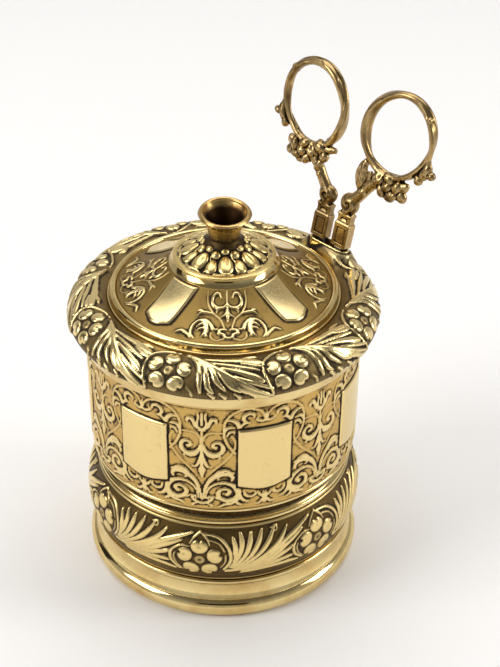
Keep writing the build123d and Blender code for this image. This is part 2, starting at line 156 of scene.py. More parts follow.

# %% [markdown]
# Polished brass is the same metal turned in a lathe and buffed. It mirrors the room, with hair
# lines round the piece from the buffing mop, faint blotches of tarnish, and a brown line in every
# corner that the mop can't reach, which is also painted shade. The pale gold is that of old
# gilding, paler than bare brass.

# %% polished brass and the other plain finishes
def plain_finish(name, clean, tarnish, film_and_shade, rough, rough_spread, film_and_shade_start=0.10, hairs=0.25):
    """Turned or cast brass without chasing. Hair lines run round the upright axis."""
    made, tree, shader, place = new_finish(name)
    cavity = add(tree, "ShaderNodeAttribute", {"attribute_name": "cavity"}).outputs["Fac"]
    blotch = noise(tree, place, 90.0, 6.0, 0.62)
    # buffing lines 0.2 mm apart up the piece and 25 mm long round it
    stretched = add(tree, "ShaderNodeMapping", {"Scale": (40.0, 40.0, 5000.0)}, Vector=place)
    hair = noise(tree, stretched.outputs["Vector"], 1.0, 2.0)
    speck = noise(tree, place, 1500.0, 3.0, 0.7)
    toned = add(tree, "ShaderNodeMix", {"data_type": "RGBA", 6: colour(clean), 7: colour(tarnish)},
                i0=ramp(tree, blotch, 0.42, 0.72))
    # the cavity lays the brown film of dirt in the corners, which also serves as painted shade there
    deep = plus(tree, cavity, ramp(tree, speck, 0.3, 0.7, -0.04, 0.04))
    filmed_and_shaded = ramp(tree, deep, film_and_shade_start, film_and_shade_start + 2 * FILM_AND_SHADE_RANGE, kind="SMOOTHSTEP")
    final = add(tree, "ShaderNodeMix", {"data_type": "RGBA", 7: colour(film_and_shade)}, i0=filmed_and_shaded, i6=toned.outputs[2])
    tree.links.new(final.outputs[2], shader.inputs["Base Color"])
    shader.inputs["Metallic"].default_value = 1.0
    dull = ramp(tree, blotch, 0, 1, rough, rough + rough_spread)
    tree.links.new(plus(tree, filmed_and_shaded, dull, 0.25), shader.inputs["Roughness"])
    lined = add(tree, "ShaderNodeBump", {"Strength": hairs, "Distance": 0.01 * MM}, Height=hair)
    pitted = add(tree, "ShaderNodeBump", {"Strength": 0.15, "Distance": 0.03 * MM}, Height=speck,
                 Normal=lined.outputs["Normal"])
    tree.links.new(pitted.outputs["Normal"], shader.inputs["Normal"])
    return made


# the third colour of each is the brown film in the corners: dirt, and painted shade as well
ring_brass = plain_finish("polished_gilt_brass", "#EED698", "#D3B06C", "#38260F", 0.04, 0.14, 0.09)
spout_brass = plain_finish("rubbed_brass_spout", "#DDBB78", "#8E6A3A", "#2E1E10", 0.12, 0.25, 0.06)
inside_brass = plain_finish("rolled_brass_inside", "#B4925A", "#8A6C40", "#3A2C1A", 0.28, 0.25)
cast_brass = plain_finish("cast_brass_handles", "#B89C6A", "#5A442A", "#1C130A", 0.17, 0.22, -0.05, 0.05)
steel = plain_finish("ground_steel_blades", "#8C8984", "#5E5954", "#2A2420", 0.22, 0.25)
print("plain finishes:", [m.name for m in (ring_brass, spout_brass, inside_brass, cast_brass, steel)])

# %% [markdown]
# ## Outlines
# Every round piece is spun from one half outline, as its maker spun or turned it. The outlines
# start from the boxes of the CAD nodes, in millimetres from the axis and up from the table.
# An outline is sampled finely enough that chasing can be raised on it later.

# %% outline helpers
SHEET = 0.8                                       # thickness of the stamped sheet, mm


def reach(node):
    """Outer radius, lowest and highest level of a round CAD node, in millimetres."""
    low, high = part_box(node)
    return high.x / MM, low.z / MM, high.z / MM


def lengths(line):
    """How far along a line of points each point lies, in millimetres."""
    return np.concatenate([[0], np.cumsum(np.linalg.norm(np.diff(line, axis=0), axis=1))])


def outward(line):
    """Unit directions at right angles to a line of points."""
    step = np.gradient(line, axis=0)
    step /= np.linalg.norm(step, axis=1)[:, None]
    return np.stack([step[:, 1], -step[:, 0]], 1)


def arc(a, b, c, step=0.35):
    """Points on the circle through a, b and c, from a to c."""
    (ax, ay), (bx, by), (cx, cy) = a, b, c
    d = 2 * (ax * (by - cy) + bx * (cy - ay) + cx * (ay - by))
    sa, sb, sc = ax ** 2 + ay ** 2, bx ** 2 + by ** 2, cx ** 2 + cy ** 2
    mx = (sa * (by - cy) + sb * (cy - ay) + sc * (ay - by)) / d
    my = (sa * (cx - bx) + sb * (ax - cx) + sc * (bx - ax)) / d
    size = math.hypot(ax - mx, ay - my)
    start, middle, end = (math.atan2(y - my, x - mx) for x, y in (a, b, c))
    turn = (end - start) % math.tau
    if (middle - start) % math.tau > turn:
        turn -= math.tau
    count = max(3, math.ceil(abs(turn) * size / step))
    return [(mx + size * math.cos(start + turn * i / count), my + size * math.sin(start + turn * i / count))
            for i in range(count + 1)]


def joined(*runs):
    """Runs of points end to end, without doubled points."""
    points = []
    for run in runs:
        for p in run:
            if not points or math.dist(p, points[-1]) > 1e-4:
                points.append(p)
    return points


def evenly(points, count):
    """The same line in count equal steps."""
    line = np.array(points, float)
    along = lengths(line)
    wanted = np.linspace(0, along[-1], count + 1)
    return np.stack([np.interp(wanted, along, line[:, 0]), np.interp(wanted, along, line[:, 1])], 1)


# %% spin an outline into a closed shell
def show(mesh, name, body, slot, finish, *nodes):
    """Put a finished mesh in the scene as a piece that rides on a body."""
    piece = bpy.data.objects.new(name, mesh)
    bpy.context.scene.collection.objects.link(piece)
    mesh.materials.append(finish)
    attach(piece, body)
    if nodes:
        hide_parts(*nodes)
    return piece


def made_mesh(bm, name, smooth=False):
    """The bmesh as a new mesh."""
    mesh = bpy.data.meshes.new(name)
    bm.to_mesh(mesh)
    bm.free()
    if smooth:
        mesh.shade_smooth()
    return mesh


def turned_form(outline, sectors, steps):
    """A closed outline in (radius, level) turned full circle. Column 0 is at the front.

    One sector is spun step by step and then copied round, far quicker than one long spin."""
    bm = bmesh.new()
    row = bm.verts.layers.float.new("row")
    verts = []
    for i, (r, z) in enumerate(outline):
        v = bm.verts.new((0, -r * MM, z * MM))
        v[row] = i
        verts.append(v)
    edges = [bm.edges.new((verts[i - 1], verts[i])) for i in range(len(verts))]
    upright = {"cent": (0, 0, 0), "axis": (0, 0, 1), "dvec": (0, 0, 0), "use_merge": False}
    bmesh.ops.spin(bm, geom=verts + edges, angle=math.tau / sectors, steps=steps,
                   use_duplicate=False, **upright)
    bmesh.ops.spin(bm, geom=bm.verts[:] + bm.edges[:] + bm.faces[:],
                   angle=math.tau * (sectors - 1) / sectors, steps=sectors - 1,
                   use_duplicate=True, **upright)
    bmesh.ops.remove_doubles(bm, verts=bm.verts, dist=0.01 * MM)
    bmesh.ops.recalc_face_normals(bm, faces=bm.faces)
    return bm


def read(mesh, kind):
    """Point places in millimetres, or one of the mesh's point values."""
    count = len(mesh.vertices)
    if kind == "place":
        data = np.empty(count * 3)
        mesh.vertices.foreach_get("co", data)
        return data.reshape(-1, 3) / MM
    data = np.empty(count)
    mesh.attributes[kind].data.foreach_get("value", data)
    return data


def write(mesh, kind, data):
    """Store point places given in millimetres, or a point value that a finish reads."""
    if kind == "place":
        mesh.vertices.foreach_set("co", (data * MM).ravel())
        mesh.update()
        return
    if kind not in mesh.attributes:
        mesh.attributes.new(kind, "FLOAT", "POINT")
    mesh.attributes[kind].data.foreach_set("value", data.astype(np.float32))


# %% [markdown]
# ## Chasing
# The bands were stamped from dies: leaves, scrolls and flowers that stand half a millimetre proud
# of the ground. A die's pattern repeats round the band, so one repeat is drawn once, on a flat
# grid in millimetres, and then carried to every column of the spun shell. A leaf or stem is a
# stroke: a smooth line with a width that changes along it, and a rounded back.

# %% a flat grid for one repeat, and the strokes that raise it
def smooth_line(points, per_span=7):
    """A soft line through the given points."""
    p = np.array([points[0], *points, points[-1]], float)
    t = np.linspace(0, 1, per_span, endpoint=False)[:, None]
    spans = []
    for i in range(1, len(p) - 2):
        a, b, c, d = p[i - 1:i + 3]
        spans.append(0.5 * (2 * b + (c - a) * t + (2 * a - 5 * b + 4 * c - d) * t ** 2
                            + (3 * b - a - 3 * c + d) * t ** 3))
    return np.vstack([*spans, p[-2:-1]])


class Die:
    """Heights of one repeat of a pattern, in millimetres, on a grid of x round and y up."""

    def __init__(self, x, y, period):
        self.x, self.y, self.period = x, y, period
        self.height = np.zeros((len(x), len(y)))

    def stroke(self, points, widths, rise=0.5, back=0.5, over=False, signs=(1,)):
        """Raise a line. widths are half widths from end to end, back is how rounded it is.

        A line that passes over others presses down what it crosses."""
        line = smooth_line(points)
        half = np.interp(np.linspace(0, 1, len(line)), np.linspace(0, 1, len(widths)), widths)
        half = np.maximum(half, 0.05)
        for sign in signs:
            for shift in (-self.period, 0, self.period):
                self._raise(line * (sign, 1) + (shift, 0), half, rise, back, over)

    def mirrored(self, points, widths, **options):
        """The same line to the right and to the left."""
        self.stroke(points, widths, signs=(1, -1), **options)

    def _raise(self, line, half, rise, back, over):
        pad = half.max() + 0.4
        i0, i1 = np.searchsorted(self.x, (line[:, 0].min() - pad, line[:, 0].max() + pad))
        j0, j1 = np.searchsorted(self.y, (line[:, 1].min() - pad, line[:, 1].max() + pad))
        if i1 - i0 < 1 or j1 - j0 < 1:
            return
        gx, gy = self.x[i0:i1, None], self.y[None, j0:j1]
        inside = np.full((i1 - i0, j1 - j0), -9.0)
        for a, b, wa, wb in zip(line[:-1], line[1:], half[:-1], half[1:]):
            d = b - a
            length = max(float(d @ d), 1e-9)
            t = np.clip(((gx - a[0]) * d[0] + (gy - a[1]) * d[1]) / length, 0, 1)
            away = np.hypot(gx - a[0] - t * d[0], gy - a[1] - t * d[1])
            inside = np.maximum(inside, 1 - (away / (wa + t * (wb - wa))) ** 2)
        raised = rise * np.clip(inside, 0, 1) ** back
        part = self.height[i0:i1, j0:j1]
        if over:
            part[(inside < 0) & (inside > -1.2)] *= 0.35
            part[inside > 0] *= 0.5
        np.maximum(part, raised, out=part)

    def _oval(self, x, y, rx, ry, turn):
        """Squared distance from an oval's middle, 1 on its edge, here and in the next repeats."""
        for shift in (-self.period, 0, self.period):
            dx, dy = self.x[:, None] - shift - x, self.y[None, :] - y
            u = dx * math.cos(turn) + dy * math.sin(turn)
            v = dy * math.cos(turn) - dx * math.sin(turn)
            yield (u / rx) ** 2 + (v / ry) ** 2

    def boss(self, x, y, rx, ry, rise=0.6, turn=0.0, back=0.5):
        """A domed petal or bead."""
        for away in self._oval(x, y, rx, ry, turn):
            np.maximum(self.height, rise * np.clip(1 - away, 0, 1) ** back, out=self.height)

    def sink(self, x, y, rx, ry, depth, turn=0.0):
        """A soft dent, such as the notch of a petal or the eye of a flower."""
        for away in self._oval(x, y, rx, ry, turn):
            self.height -= depth * np.exp(-away)

    def reed(self, level, half, rise):
        """A fine half-round line that runs round the band."""
        round_back = rise * np.sqrt(np.clip(1 - ((self.y - level) / half) ** 2, 0, 1))
        np.maximum(self.height, round_back[None, :], out=self.height)


def softened(grid, across, up):
    """The grid blurred, round the repeat and up the band; across and up are in grid steps."""
    for axis, size in ((0, across), (1, up)):
        span = max(1, int(3 * size))
        weights = np.exp(-0.5 * (np.arange(-span, span + 1) / max(size, 0.3)) ** 2)
        weights /= weights.sum()
        pad = [(span, span) if k == axis else (0, 0) for k in (0, 1)]
        wide = np.pad(grid, pad, mode="wrap" if axis == 0 else "edge")
        grid = sum(w * np.take(wide, range(k, k + grid.shape[axis]), axis=axis)
                   for k, w in enumerate(weights))
    return grid


# %% raise a pattern on a spun shell
def chased_shell(name, outside, inside, count, per_repeat, turn, radius, draw, hollow, fade=None):
    """Spin outside + inside, then raise the pattern that draw makes on the outside.

    turn is the angle of a repeat's middle from the front, radius the one its x is measured at.
    hollow is the width, in mm, over which a place is compared with what is around it."""
    columns = count * per_repeat
    rows = len(outside)
    mesh = made_mesh(turned_form([*map(tuple, outside), *inside], count, per_repeat), name, smooth=True)
    along = lengths(np.array(outside))
    facing = outward(np.array(outside))
    if facing[rows // 2, 0] < 0:
        facing = -facing
    angles = np.arange(per_repeat) * math.tau / columns - math.radians(turn)
    period = math.tau / count
    angles = (angles + period / 2) % period - period / 2
    order = np.argsort(angles)
    die = Die(angles[order] * radius, along, period * radius)
    draw(die)
    grid = softened(die.height, 0.5, 0.5)
    dx, dy = period * radius / per_repeat, along[-1] / (rows - 1)
    cavity = softened(grid, hollow / dx, hollow / dy) - grid
    back = np.argsort(order)
    place, row = read(mesh, "place"), np.rint(read(mesh, "row")).astype(int)
    angle = np.arctan2(place[:, 0], -place[:, 1])
    column = np.rint(angle / math.tau * columns).astype(int) % per_repeat
    front = row < rows
    j, i = row[front], back[column[front]]
    rise, deep = grid[i, j], cavity[i, j]
    if fade is not None:
        keep = fade(place[front])
        rise, deep = rise * keep, deep * keep
    out = np.hypot(place[front, 0], place[front, 1]) + facing[j, 0] * rise
    place[front, 0], place[front, 1] = out * np.sin(angle[front]), -out * np.cos(angle[front])
    place[front, 2] += facing[j, 1] * rise
    relief, hollowness = np.zeros(len(place)), np.zeros(len(place))
    relief[front], hollowness[front] = rise, deep
    write(mesh, "place", place)
    write(mesh, "relief", relief)
    write(mesh, "cavity", hollowness)
    print(name, "triangles", 2 * len(mesh.polygons), "tallest", round(float(rise.max()), 2), "mm")
    return mesh


# %% [markdown]
# ## The wall
# The wall is a tube with seven plain shields, which were left for names, and between them a tall
# scrolled motif: a vase with two pairs of leafed stems, a flame, and a palmette under the rim.
# The motif is the same left and right, so most strokes are mirrored.

# %% the wall's pattern
wall_out, wall_low, wall_top = reach("body_wall")
wall_radius = wall_out - 0.7


def shield(die, centre, low, top, half, point, rise, rim=0.45):
    """A plain plate with a bracket-shaped foot, its edge rounded over."""
    for shift in (-die.period, 0, die.period):
        x = np.abs(die.x[:, None] - centre - shift)
        foot = low + point * np.clip(x / half, 0, 1) ** 2 * (1.15 - 0.15 * np.cos(x / half * 6.2))
        depth = np.minimum(np.minimum(half - x, top - die.y[None, :]), die.y[None, :] - foot)
        swell = rise * np.sin(np.clip(depth / rim, 0, 1) * math.pi / 2) ** 0.8
        beside = (depth < 0) & (depth > -0.75)
        die.height[beside] = np.minimum(die.height[beside], -0.10)
        np.copyto(die.height, swell, where=depth > 0)


def wall_pattern(die):
    up = die.y
    die.y = die.y + wall_low                      # strokes below are placed by their level
    s, both = die.stroke, die.mirrored
    # palmette under the rim
    s([(0, 73.6), (0, 75.5), (0, 77.9)], (0.35, 0.55, 0.3))
    both([(0.1, 72.4), (1.1, 73.1), (1.3, 74.8), (0.95, 76.4), (1.15, 77.8)],
      (0.45, 0.4, 0.3, 0.25))
    both([(0.3, 72.3), (1.7, 73.0), (2.3, 74.6), (3.1, 75.9), (4.0, 75.7), (4.3, 74.6)],
      (0.3, 0.55, 0.7, 0.3))
    s([(-0.9, 71.9), (0, 71.7), (0.9, 71.9)], (0.3, 0.3))
    s([(0, 71.8), (0, 66.5)], (0.28, 0.3), rise=0.4)
    # looped stem and the pair of open volutes
    both([(0.2, 66.2), (0.45, 68.6), (1.6, 70.4), (3.8, 71.1), (6.4, 71.0)],
      (0.25, 0.3, 0.22), rise=0.35)
    both([(0.3, 66.4), (1.0, 64.6), (2.6, 63.5), (4.6, 63.4), (6.0, 64.6), (6.1, 66.4), (5.0, 67.6), (3.7, 67.3),
       (3.3, 66.2), (4.0, 65.8)], (0.5, 0.75, 0.8, 0.55, 0.45, 0.6))
    both([(0.5, 65.4), (1.8, 63.2), (3.4, 62.4), (5.1, 62.7)], (0.4, 0.7, 0.6, 0.12))
    both([(4.9, 62.8), (5.3, 62.3), (4.9, 61.5)], (0.3, 0.3, 0.08))
    # flame with its barbs
    s([(0, 67.0), (0, 62.5), (0, 58.5)], (0.3, 0.75, 0.5), rise=0.55)
    both([(0.2, 63.4), (0.75, 60.6), (1.7, 58.7), (3.0, 58.5)], (0.4, 0.5, 0.4, 0.12))
    s([(0, 59.2), (0, 57.4), (0, 54.4)], (0.35, 1.15, 0.1), rise=0.55)
    # thin crossing stems, and the arch over each shield
    both([(2.2, 56.2), (4.6, 58.6), (7.2, 61.4), (9.3, 64.6), (9.7, 67.6), (8.7, 69.7)],
      (0.25, 0.3, 0.22), rise=0.32)
    both([(11.0, 62.3), (9.3, 64.2), (7.6, 66.6), (6.5, 69.8), (6.4, 73.0), (7.2, 75.9), (9.6, 78.3),
       (13.0, 79.4), (16.4, 78.6), (18.2, 76.6)], (0.2, 0.35, 0.3, 0.35, 0.25), rise=0.4, over=True)
    # leaf knot beside the arch
    both([(6.4, 69.6), (6.6, 71.8), (7.7, 73.1), (9.3, 72.8)], (0.2, 0.5, 0.55, 0.15))
    both([(7.2, 69.9), (8.0, 71.3), (9.2, 71.6), (9.4, 70.8)], (0.2, 0.45, 0.35, 0.12))
    # leaves over the shield's corner
    both([(10.4, 70.2), (10.9, 72.6), (10.2, 74.6), (8.6, 75.7), (7.3, 75.3)],
      (0.35, 0.75, 0.6, 0.15))
    both([(11.0, 73.2), (12.6, 74.6), (13.9, 74.1)], (0.5, 0.45, 0.1))
    both([(13.7, 74.3), (12.3, 75.2), (12.1, 76.6), (13.3, 77.7), (14.9, 77.3), (15.3, 75.9)],
      (0.2, 0.45, 0.6, 0.5, 0.15))
    both([(19.0, 75.0), (17.4, 74.7), (15.9, 75.4), (16.6, 76.3)], (0.5, 0.45, 0.3, 0.1))
    both([(19.0, 75.2), (18.2, 76.4), (19.0, 77.8)], (0.35, 0.4, 0.1))
    # big lobed leaves on the stems from the vase
    both([(0.5, 46.9), (0.8, 49.6), (1.7, 52.4), (3.5, 54.8), (5.8, 56.0), (7.9, 55.9), (9.0, 54.8),
       (8.8, 53.7)], (0.35, 0.5, 0.6, 0.85, 0.9, 0.8, 0.6, 0.3))
    both([(3.4, 54.8), (4.9, 56.8), (6.8, 57.4), (8.4, 57.1)], (0.4, 0.6, 0.55, 0.15))
    both([(6.4, 56.2), (8.1, 56.7), (9.5, 56.1)], (0.5, 0.5, 0.12))
    both([(5.2, 55.4), (4.6, 54.4), (5.4, 53.7)], (0.4, 0.3, 0.1))
    # lower volutes, their arcs and tails
    both([(1.1, 46.8), (1.5, 49.6), (3.1, 51.7), (5.8, 52.8), (8.6, 52.1), (10.4, 50.1), (11.0, 47.8),
       (12.3, 46.0), (14.0, 45.2)], (0.3, 0.35, 0.4, 0.75, 1.0, 0.6, 0.12), over=True)
    both([(10.7, 48.6), (9.4, 46.8), (7.3, 46.2), (5.4, 47.0), (4.7, 48.6), (5.5, 50.1), (7.1, 50.5),
       (8.2, 49.5), (7.5, 48.5)], (0.4, 0.9, 0.75, 0.55, 0.45, 0.7))
    both([(10.4, 46.6), (8.6, 45.1), (6.6, 44.6), (4.7, 43.4)], (0.8, 0.7, 0.5, 0.1))
    both([(5.8, 46.9), (4.5, 46.8), (3.5, 47.7)], (0.5, 0.35, 0.08))
    both([(9.8, 46.2), (10.6, 44.8), (11.9, 44.1)], (0.6, 0.5, 0.1))
    # vase
    both([(0, 45.0), (1.4, 45.2), (2.7, 46.2), (2.9, 47.3), (2.0, 47.4), (1.8, 46.6)],
      (0.6, 0.55, 0.45, 0.3))
    s([(0, 46.2), (0, 48.6)], (0.3, 0.25), rise=0.4)
    both([(1.6, 44.8), (3.0, 43.9), (2.4, 43.2)], (0.25, 0.3, 0.08))
    # leaves under the shields
    both([(12.3, 49.4), (12.9, 47.8), (14.5, 47.2), (15.9, 47.9), (15.6, 49.0)],
      (0.25, 0.45, 0.5, 0.15))
    both([(16.4, 48.8), (17.3, 47.4), (18.4, 46.6), (19.0, 45.0)], (0.15, 0.5, 0.6, 0.3))
    both([(19.0, 48.4), (19.0, 46.6), (19.0, 44.2)], (0.12, 0.6, 0.2))
    both([(17.9, 45.4), (16.7, 44.2), (15.2, 44.4)], (0.45, 0.45, 0.1))
    shield(die, die.period / 2, wall_low + 7.0, wall_top - 13.0, 8.15, 1.8, 0.7)
    # three fine reeds under the lid's edge
    for level in (79.9, 80.7, 81.4):
        die.reed(level, 0.36, 0.28)
    die.height[:, die.y > 81.8] = 0.0
    die.height *= np.clip((die.y - wall_low) / 0.5, 0, 1)[None, :]
    die.y = up


wall_side = evenly([(wall_radius, wall_low), (wall_radius, wall_top)], 112)
wall_inside = [(wall_radius - SHEET, z) for z in np.linspace(wall_top, wall_low, 7)]
wall_mesh = chased_shell("chased_wall", wall_side, wall_inside, count=7, per_repeat=110, turn=-8.7,
                         radius=wall_radius, draw=wall_pattern, hollow=0.5)
# the wall's chasing is shallow, but its lines are packed full of old polish; the doubled cavity darkens them
# with that film and with painted shade
write(wall_mesh, "cavity", 2.0 * read(wall_mesh, "cavity"))
show(wall_mesh, "chased_wall", "box", "chased_brass", wall_brass, "body_wall")

# %% [markdown]
# ## The base band
# A swelling band of seven five-petalled flowers. From beside each flower a big fan of acanthus
# fingers sweeps up and round to the next one. The ground here is nearly black-brown, so the
# fingers stand out in light gold.

# %% the flower and the base band's pattern
def flower(die, x, y, petals, petal_size, first=90.0, eye=1.3, rise=0.62, spread=1.0):
    """Five cupped petals, notched at the edge, round a ring-shaped eye.

    petals is how far out a petal's middle lies, and spread widens the flower along the band."""
    for k in range(5):
        a = math.radians(first + 72 * k)
        px, py = x + spread * petals * math.cos(a), y + petals * math.sin(a)
        die.boss(px, py, petal_size * 0.92, petal_size * 1.06, rise, a, back=0.42)
        die.sink(px + 0.95 * petal_size * math.cos(a), py + 0.95 * petal_size * math.sin(a),
                 0.40 * petal_size, 0.20 * petal_size, 0.75, a)
        die.sink(px + 0.15 * petal_size * math.cos(a), py + 0.15 * petal_size * math.sin(a),
                 0.36 * petal_size, 0.42 * petal_size, 0.22, a)
    die.boss(x, y, eye, eye, 0.5)
    die.sink(x, y, eye * 0.52, eye * 0.52, 0.42)


def base_pattern(die):
    s = die.stroke
    # the fan's fingers, from the upright one beside the flower to the lowest
    fan = [((8.6, 7.4), (10.2, 10.6), (11.0, 14.6), (10.2, 18.4)),
           ((9.4, 7.6), (12.0, 12.0), (13.0, 16.2), (12.6, 19.8)),
           ((10.0, 7.4), (13.8, 12.0), (15.4, 16.0), (16.0, 19.6)),
           ((10.6, 7.2), (15.4, 11.6), (18.0, 15.6), (19.6, 20.0)),
           ((11.2, 6.9), (17.4, 11.4), (21.0, 15.2), (23.6, 19.8)),
           ((11.8, 6.6), (19.2, 10.8), (24.6, 14.8), (28.0, 19.2)),
           ((12.2, 6.3), (20.6, 10.4), (27.6, 15.2), (36.6, 19.5)),
           ((12.6, 6.0), (21.0, 9.4), (27.6, 13.4), (33.2, 16.6)),
           ((12.8, 5.7), (21.4, 8.4), (26.6, 10.6), (30.4, 12.4)),
           ((13.0, 5.4), (21.6, 7.2), (26.6, 8.0), (30.2, 8.3)),
           ((12.4, 5.0), (20.4, 5.9), (26.8, 5.9), (31.6, 5.3))]
    for k, points in enumerate(fan):
        s(points, (0.3, 0.62, 0.9, 0.85, 0.35), rise=0.55 - 0.06 * (k % 2), back=0.35)
    s([(8.0, 6.2), (13.0, 6.8), (19.5, 8.8), (26.0, 11.8)], (0.7, 0.8, 0.5, 0.15), rise=0.55)
    s([(22.6, 19.9), (24.4, 20.3), (24.4, 18.9), (23.2, 18.7)], (0.3, 0.45, 0.3, 0.2))
    # stems that wrap the flower
    s([(-6.2, 5.4), (-8.9, 8.4), (-9.1, 12.0), (-6.4, 14.6), (-3.4, 14.8)], (0.45, 0.6, 0.4, 0.25), over=True)
    s([(-5.0, 5.0), (-7.7, 8.3), (-8.0, 11.4), (-6.2, 13.4)], (0.25, 0.35, 0.2), rise=0.4)
    s([(1.2, 19.4), (5.8, 18.4), (8.9, 14.8), (9.4, 10.4), (7.4, 6.8)], (0.3, 0.55, 0.6, 0.45), over=True)
    s([(2.6, 17.6), (5.9, 16.4), (7.7, 13.4), (7.9, 10.2), (6.4, 7.6)], (0.25, 0.35, 0.25), rise=0.4)
    s([(0, 20.0), (-2.0, 18.0), (-3.2, 15.8)], (0.4, 0.35, 0.15))
    s([(0, 20.0), (2.2, 17.8), (3.0, 15.8)], (0.4, 0.35, 0.15))
    flower(die, 0, 10.4, 4.6, 2.6, 92.0, 1.7, 0.7, 1.06)
    # a reed at each edge of the band, and a fading towards the joints
    top = die.y[-1]
    for level in (0.9, top - 0.8):
        die.reed(level, 0.5, 0.35)
    die.height *= np.clip(np.minimum(die.y, top - die.y) / 0.4, 0, 1)[None, :]


_, base_low, base_top = reach("base_band")
base_out = wall_radius + 1.9
base_arc = arc((base_out - 2.6, base_low), (base_out, base_low + 11.5), (wall_radius - 1.9, base_top), 0.1)
base_side = evenly(base_arc, 76)
base_inside = [(r - SHEET, z) for r, z in evenly(base_arc, 6)[::-1]]
base_inside[0], base_inside[-1] = (base_inside[0][0], base_top), (base_inside[-1][0], base_low)
base_mesh = chased_shell("chased_base_band", base_side, base_inside, count=7, per_repeat=138, turn=-9.5,
                         radius=base_out, draw=base_pattern, hollow=0.5)
show(base_mesh, "chased_base_band", "box", "chased_brass", base_brass, "base_band")

# %% [markdown]
# ## The roll of the lid
# The boldest chasing is on the roll round the lid: eight flowers, and between them a leaf whose
# long fingers curl from the inner edge out and down over the side. Near the scissors the sheet
# was drawn up to the mouth of their slot, so the roll swells there and its pattern fades.

# %% the slot in the roll
joints = {j["name"]: j for j in record["behaviour"]["joints"]}
slot_up = Vector(joints["scissors_draw"]["axis"]).normalized()
slot_out = Vector(joints["left_half_turn"]["axis"]).normalized()
slot_along = slot_up.cross(slot_out).normalized()
pivot_place = Vector(joints["left_half_turn"]["pos_m"])
MOUTH_RISE = 12                                   # the mouth lies this far up from the scissors' screw, mm
slot_mouth = pivot_place + slot_up * MOUTH_RISE * MM
slot_turn = np.array([slot_along[:], slot_up[:], slot_out[:]])
collar_half, collar_gap = 7.5, 2.5                # half length and half width of the round-ended mouth, mm
print("slot mouth, mm:", [round(v / MM, 1) for v in slot_mouth])


def in_slot(place):
    """Places in the slot's own directions: along it, up out of it, and across it, in millimetres."""
    return (place - np.array(slot_mouth[:]) / MM) @ slot_turn.T


def beyond_slot(local, half, gap):
    """How far a place lies outside the round-ended slot, seen along the slot's own way up."""
    x = np.maximum(np.abs(local[:, 0]) - (half - gap), 0)
    return np.hypot(x, local[:, 2]) - gap


# %% the roll's pattern
def roll_pattern(die):
    s = die.stroke
    # the leaf's rib, and the fingers above and below it
    s([(4.0, 16.0), (8.0, 14.7), (13.0, 11.9), (18.0, 8.7), (23.0, 5.7), (28.6, 2.7)],
      (0.5, 0.8, 0.8, 0.7, 0.3), rise=0.7)
    upper = [(((8.6, 14.8), (14.0, 14.9), (20.0, 14.8), (25.4, 13.4), (26.6, 12.9)),
              (0.3, 0.8, 1.15, 1.2, 0.5)),
             (((11.0, 13.6), (18.0, 12.6), (25.6, 10.5)), (0.3, 0.6, 0.7, 0.3)),
             (((14.6, 11.9), (19.6, 10.6), (24.0, 8.6), (26.2, 7.2)), (0.3, 0.8, 1.05, 0.5)),
             (((18.6, 9.2), (23.6, 7.0), (28.4, 4.9)), (0.3, 0.65, 0.35))]
    for points, widths in upper:
        s(points, widths, rise=0.55, back=0.3)
    s([(20.5, 14.9), (23.4, 15.7), (26.0, 15.4)], (0.4, 0.7, 0.3), rise=0.65)
    s([(21.0, 13.3), (24.6, 12.0), (26.8, 11.6)], (0.4, 0.6, 0.3), rise=0.65)
    lower = [((5.2, 15.4), (7.9, 12.8), (8.9, 9.5), (9.2, 6.6), (9.5, 4.4)),
             ((7.4, 14.6), (10.1, 11.8), (10.9, 8.6), (11.5, 6.0), (12.9, 4.6)),
             ((9.8, 13.6), (12.5, 10.6), (13.7, 7.9), (16.0, 5.4)),
             ((12.4, 12.2), (15.3, 9.2), (17.3, 6.7), (20.0, 4.8)),
             ((15.4, 10.4), (18.5, 7.3), (21.0, 5.2), (24.0, 3.9)),
             ((18.8, 8.0), (22.0, 5.0), (25.0, 3.1), (28.8, 1.8))]
    for points in lower:
        s(points, (0.3, 0.62, 0.85, 0.75, 0.25), rise=0.55, back=0.3)
    # small turned-over tips along the roll's lower edge
    for x in (11.6, 14.6, 18.4, 22.4):
        s([(x, 4.4), (x + 1.3, 3.3), (x + 1.1, 2.1)], (0.3, 0.6, 0.25), rise=0.5)
    # stems that wrap the flower
    s([(-5.4, 3.4), (-6.6, 6.6), (-7.2, 10.0), (-6.6, 12.8), (-4.8, 14.6), (-1.6, 16.2), (1.4, 16.6)],
      (0.3, 0.4, 0.42, 0.3), rise=0.55)
    s([(7.4, 3.2), (7.0, 4.6), (5.8, 5.6)], (0.4, 0.35, 0.1), rise=0.4)
    flower(die, 0.1, 9.4, 4.05, 2.3, 90.0, 1.4, 0.72, 1.1)
    # hatching cut in the ground near the lower edge
    low = np.clip(1 - np.abs(die.y - 3.2) / 2.4, 0, 1)[None, :]
    cut = 0.10 * np.cos(die.x[:, None] / 0.75 * math.tau) * low
    die.height += np.where(die.height < 0.08, cut, 0)
    edges = np.clip((die.y - 1.2) / 0.9, 0, 1) * np.clip((17.4 - die.y) / 0.7, 0, 1)
    die.height *= edges[None, :]


roll_out, roll_low, roll_top = reach("lid_rim")
crest = roll_out - 7.5
widest = roll_low + 2.6
inner_edge = roll_out - 11.8
roll_arcs = joined(arc((roll_out - 2.2, roll_low), (roll_out - 0.5, widest - 1.9), (roll_out, widest), 0.1),
                   arc((roll_out, widest), (roll_out - 2.3, roll_top - 2.0), (crest, roll_top), 0.1),
                   arc((crest, roll_top), (crest - 2.0, roll_top - 0.15), (inner_edge, roll_top - 1.0), 0.1))
roll_side = evenly(roll_arcs, 70)
under = evenly(roll_arcs, 18)
under = [tuple(p) for p in (under - SHEET * outward(under))[::-1]]
under[-1] = (roll_out - 3.0, roll_low)
under[0] = (inner_edge, roll_top - 1.85)


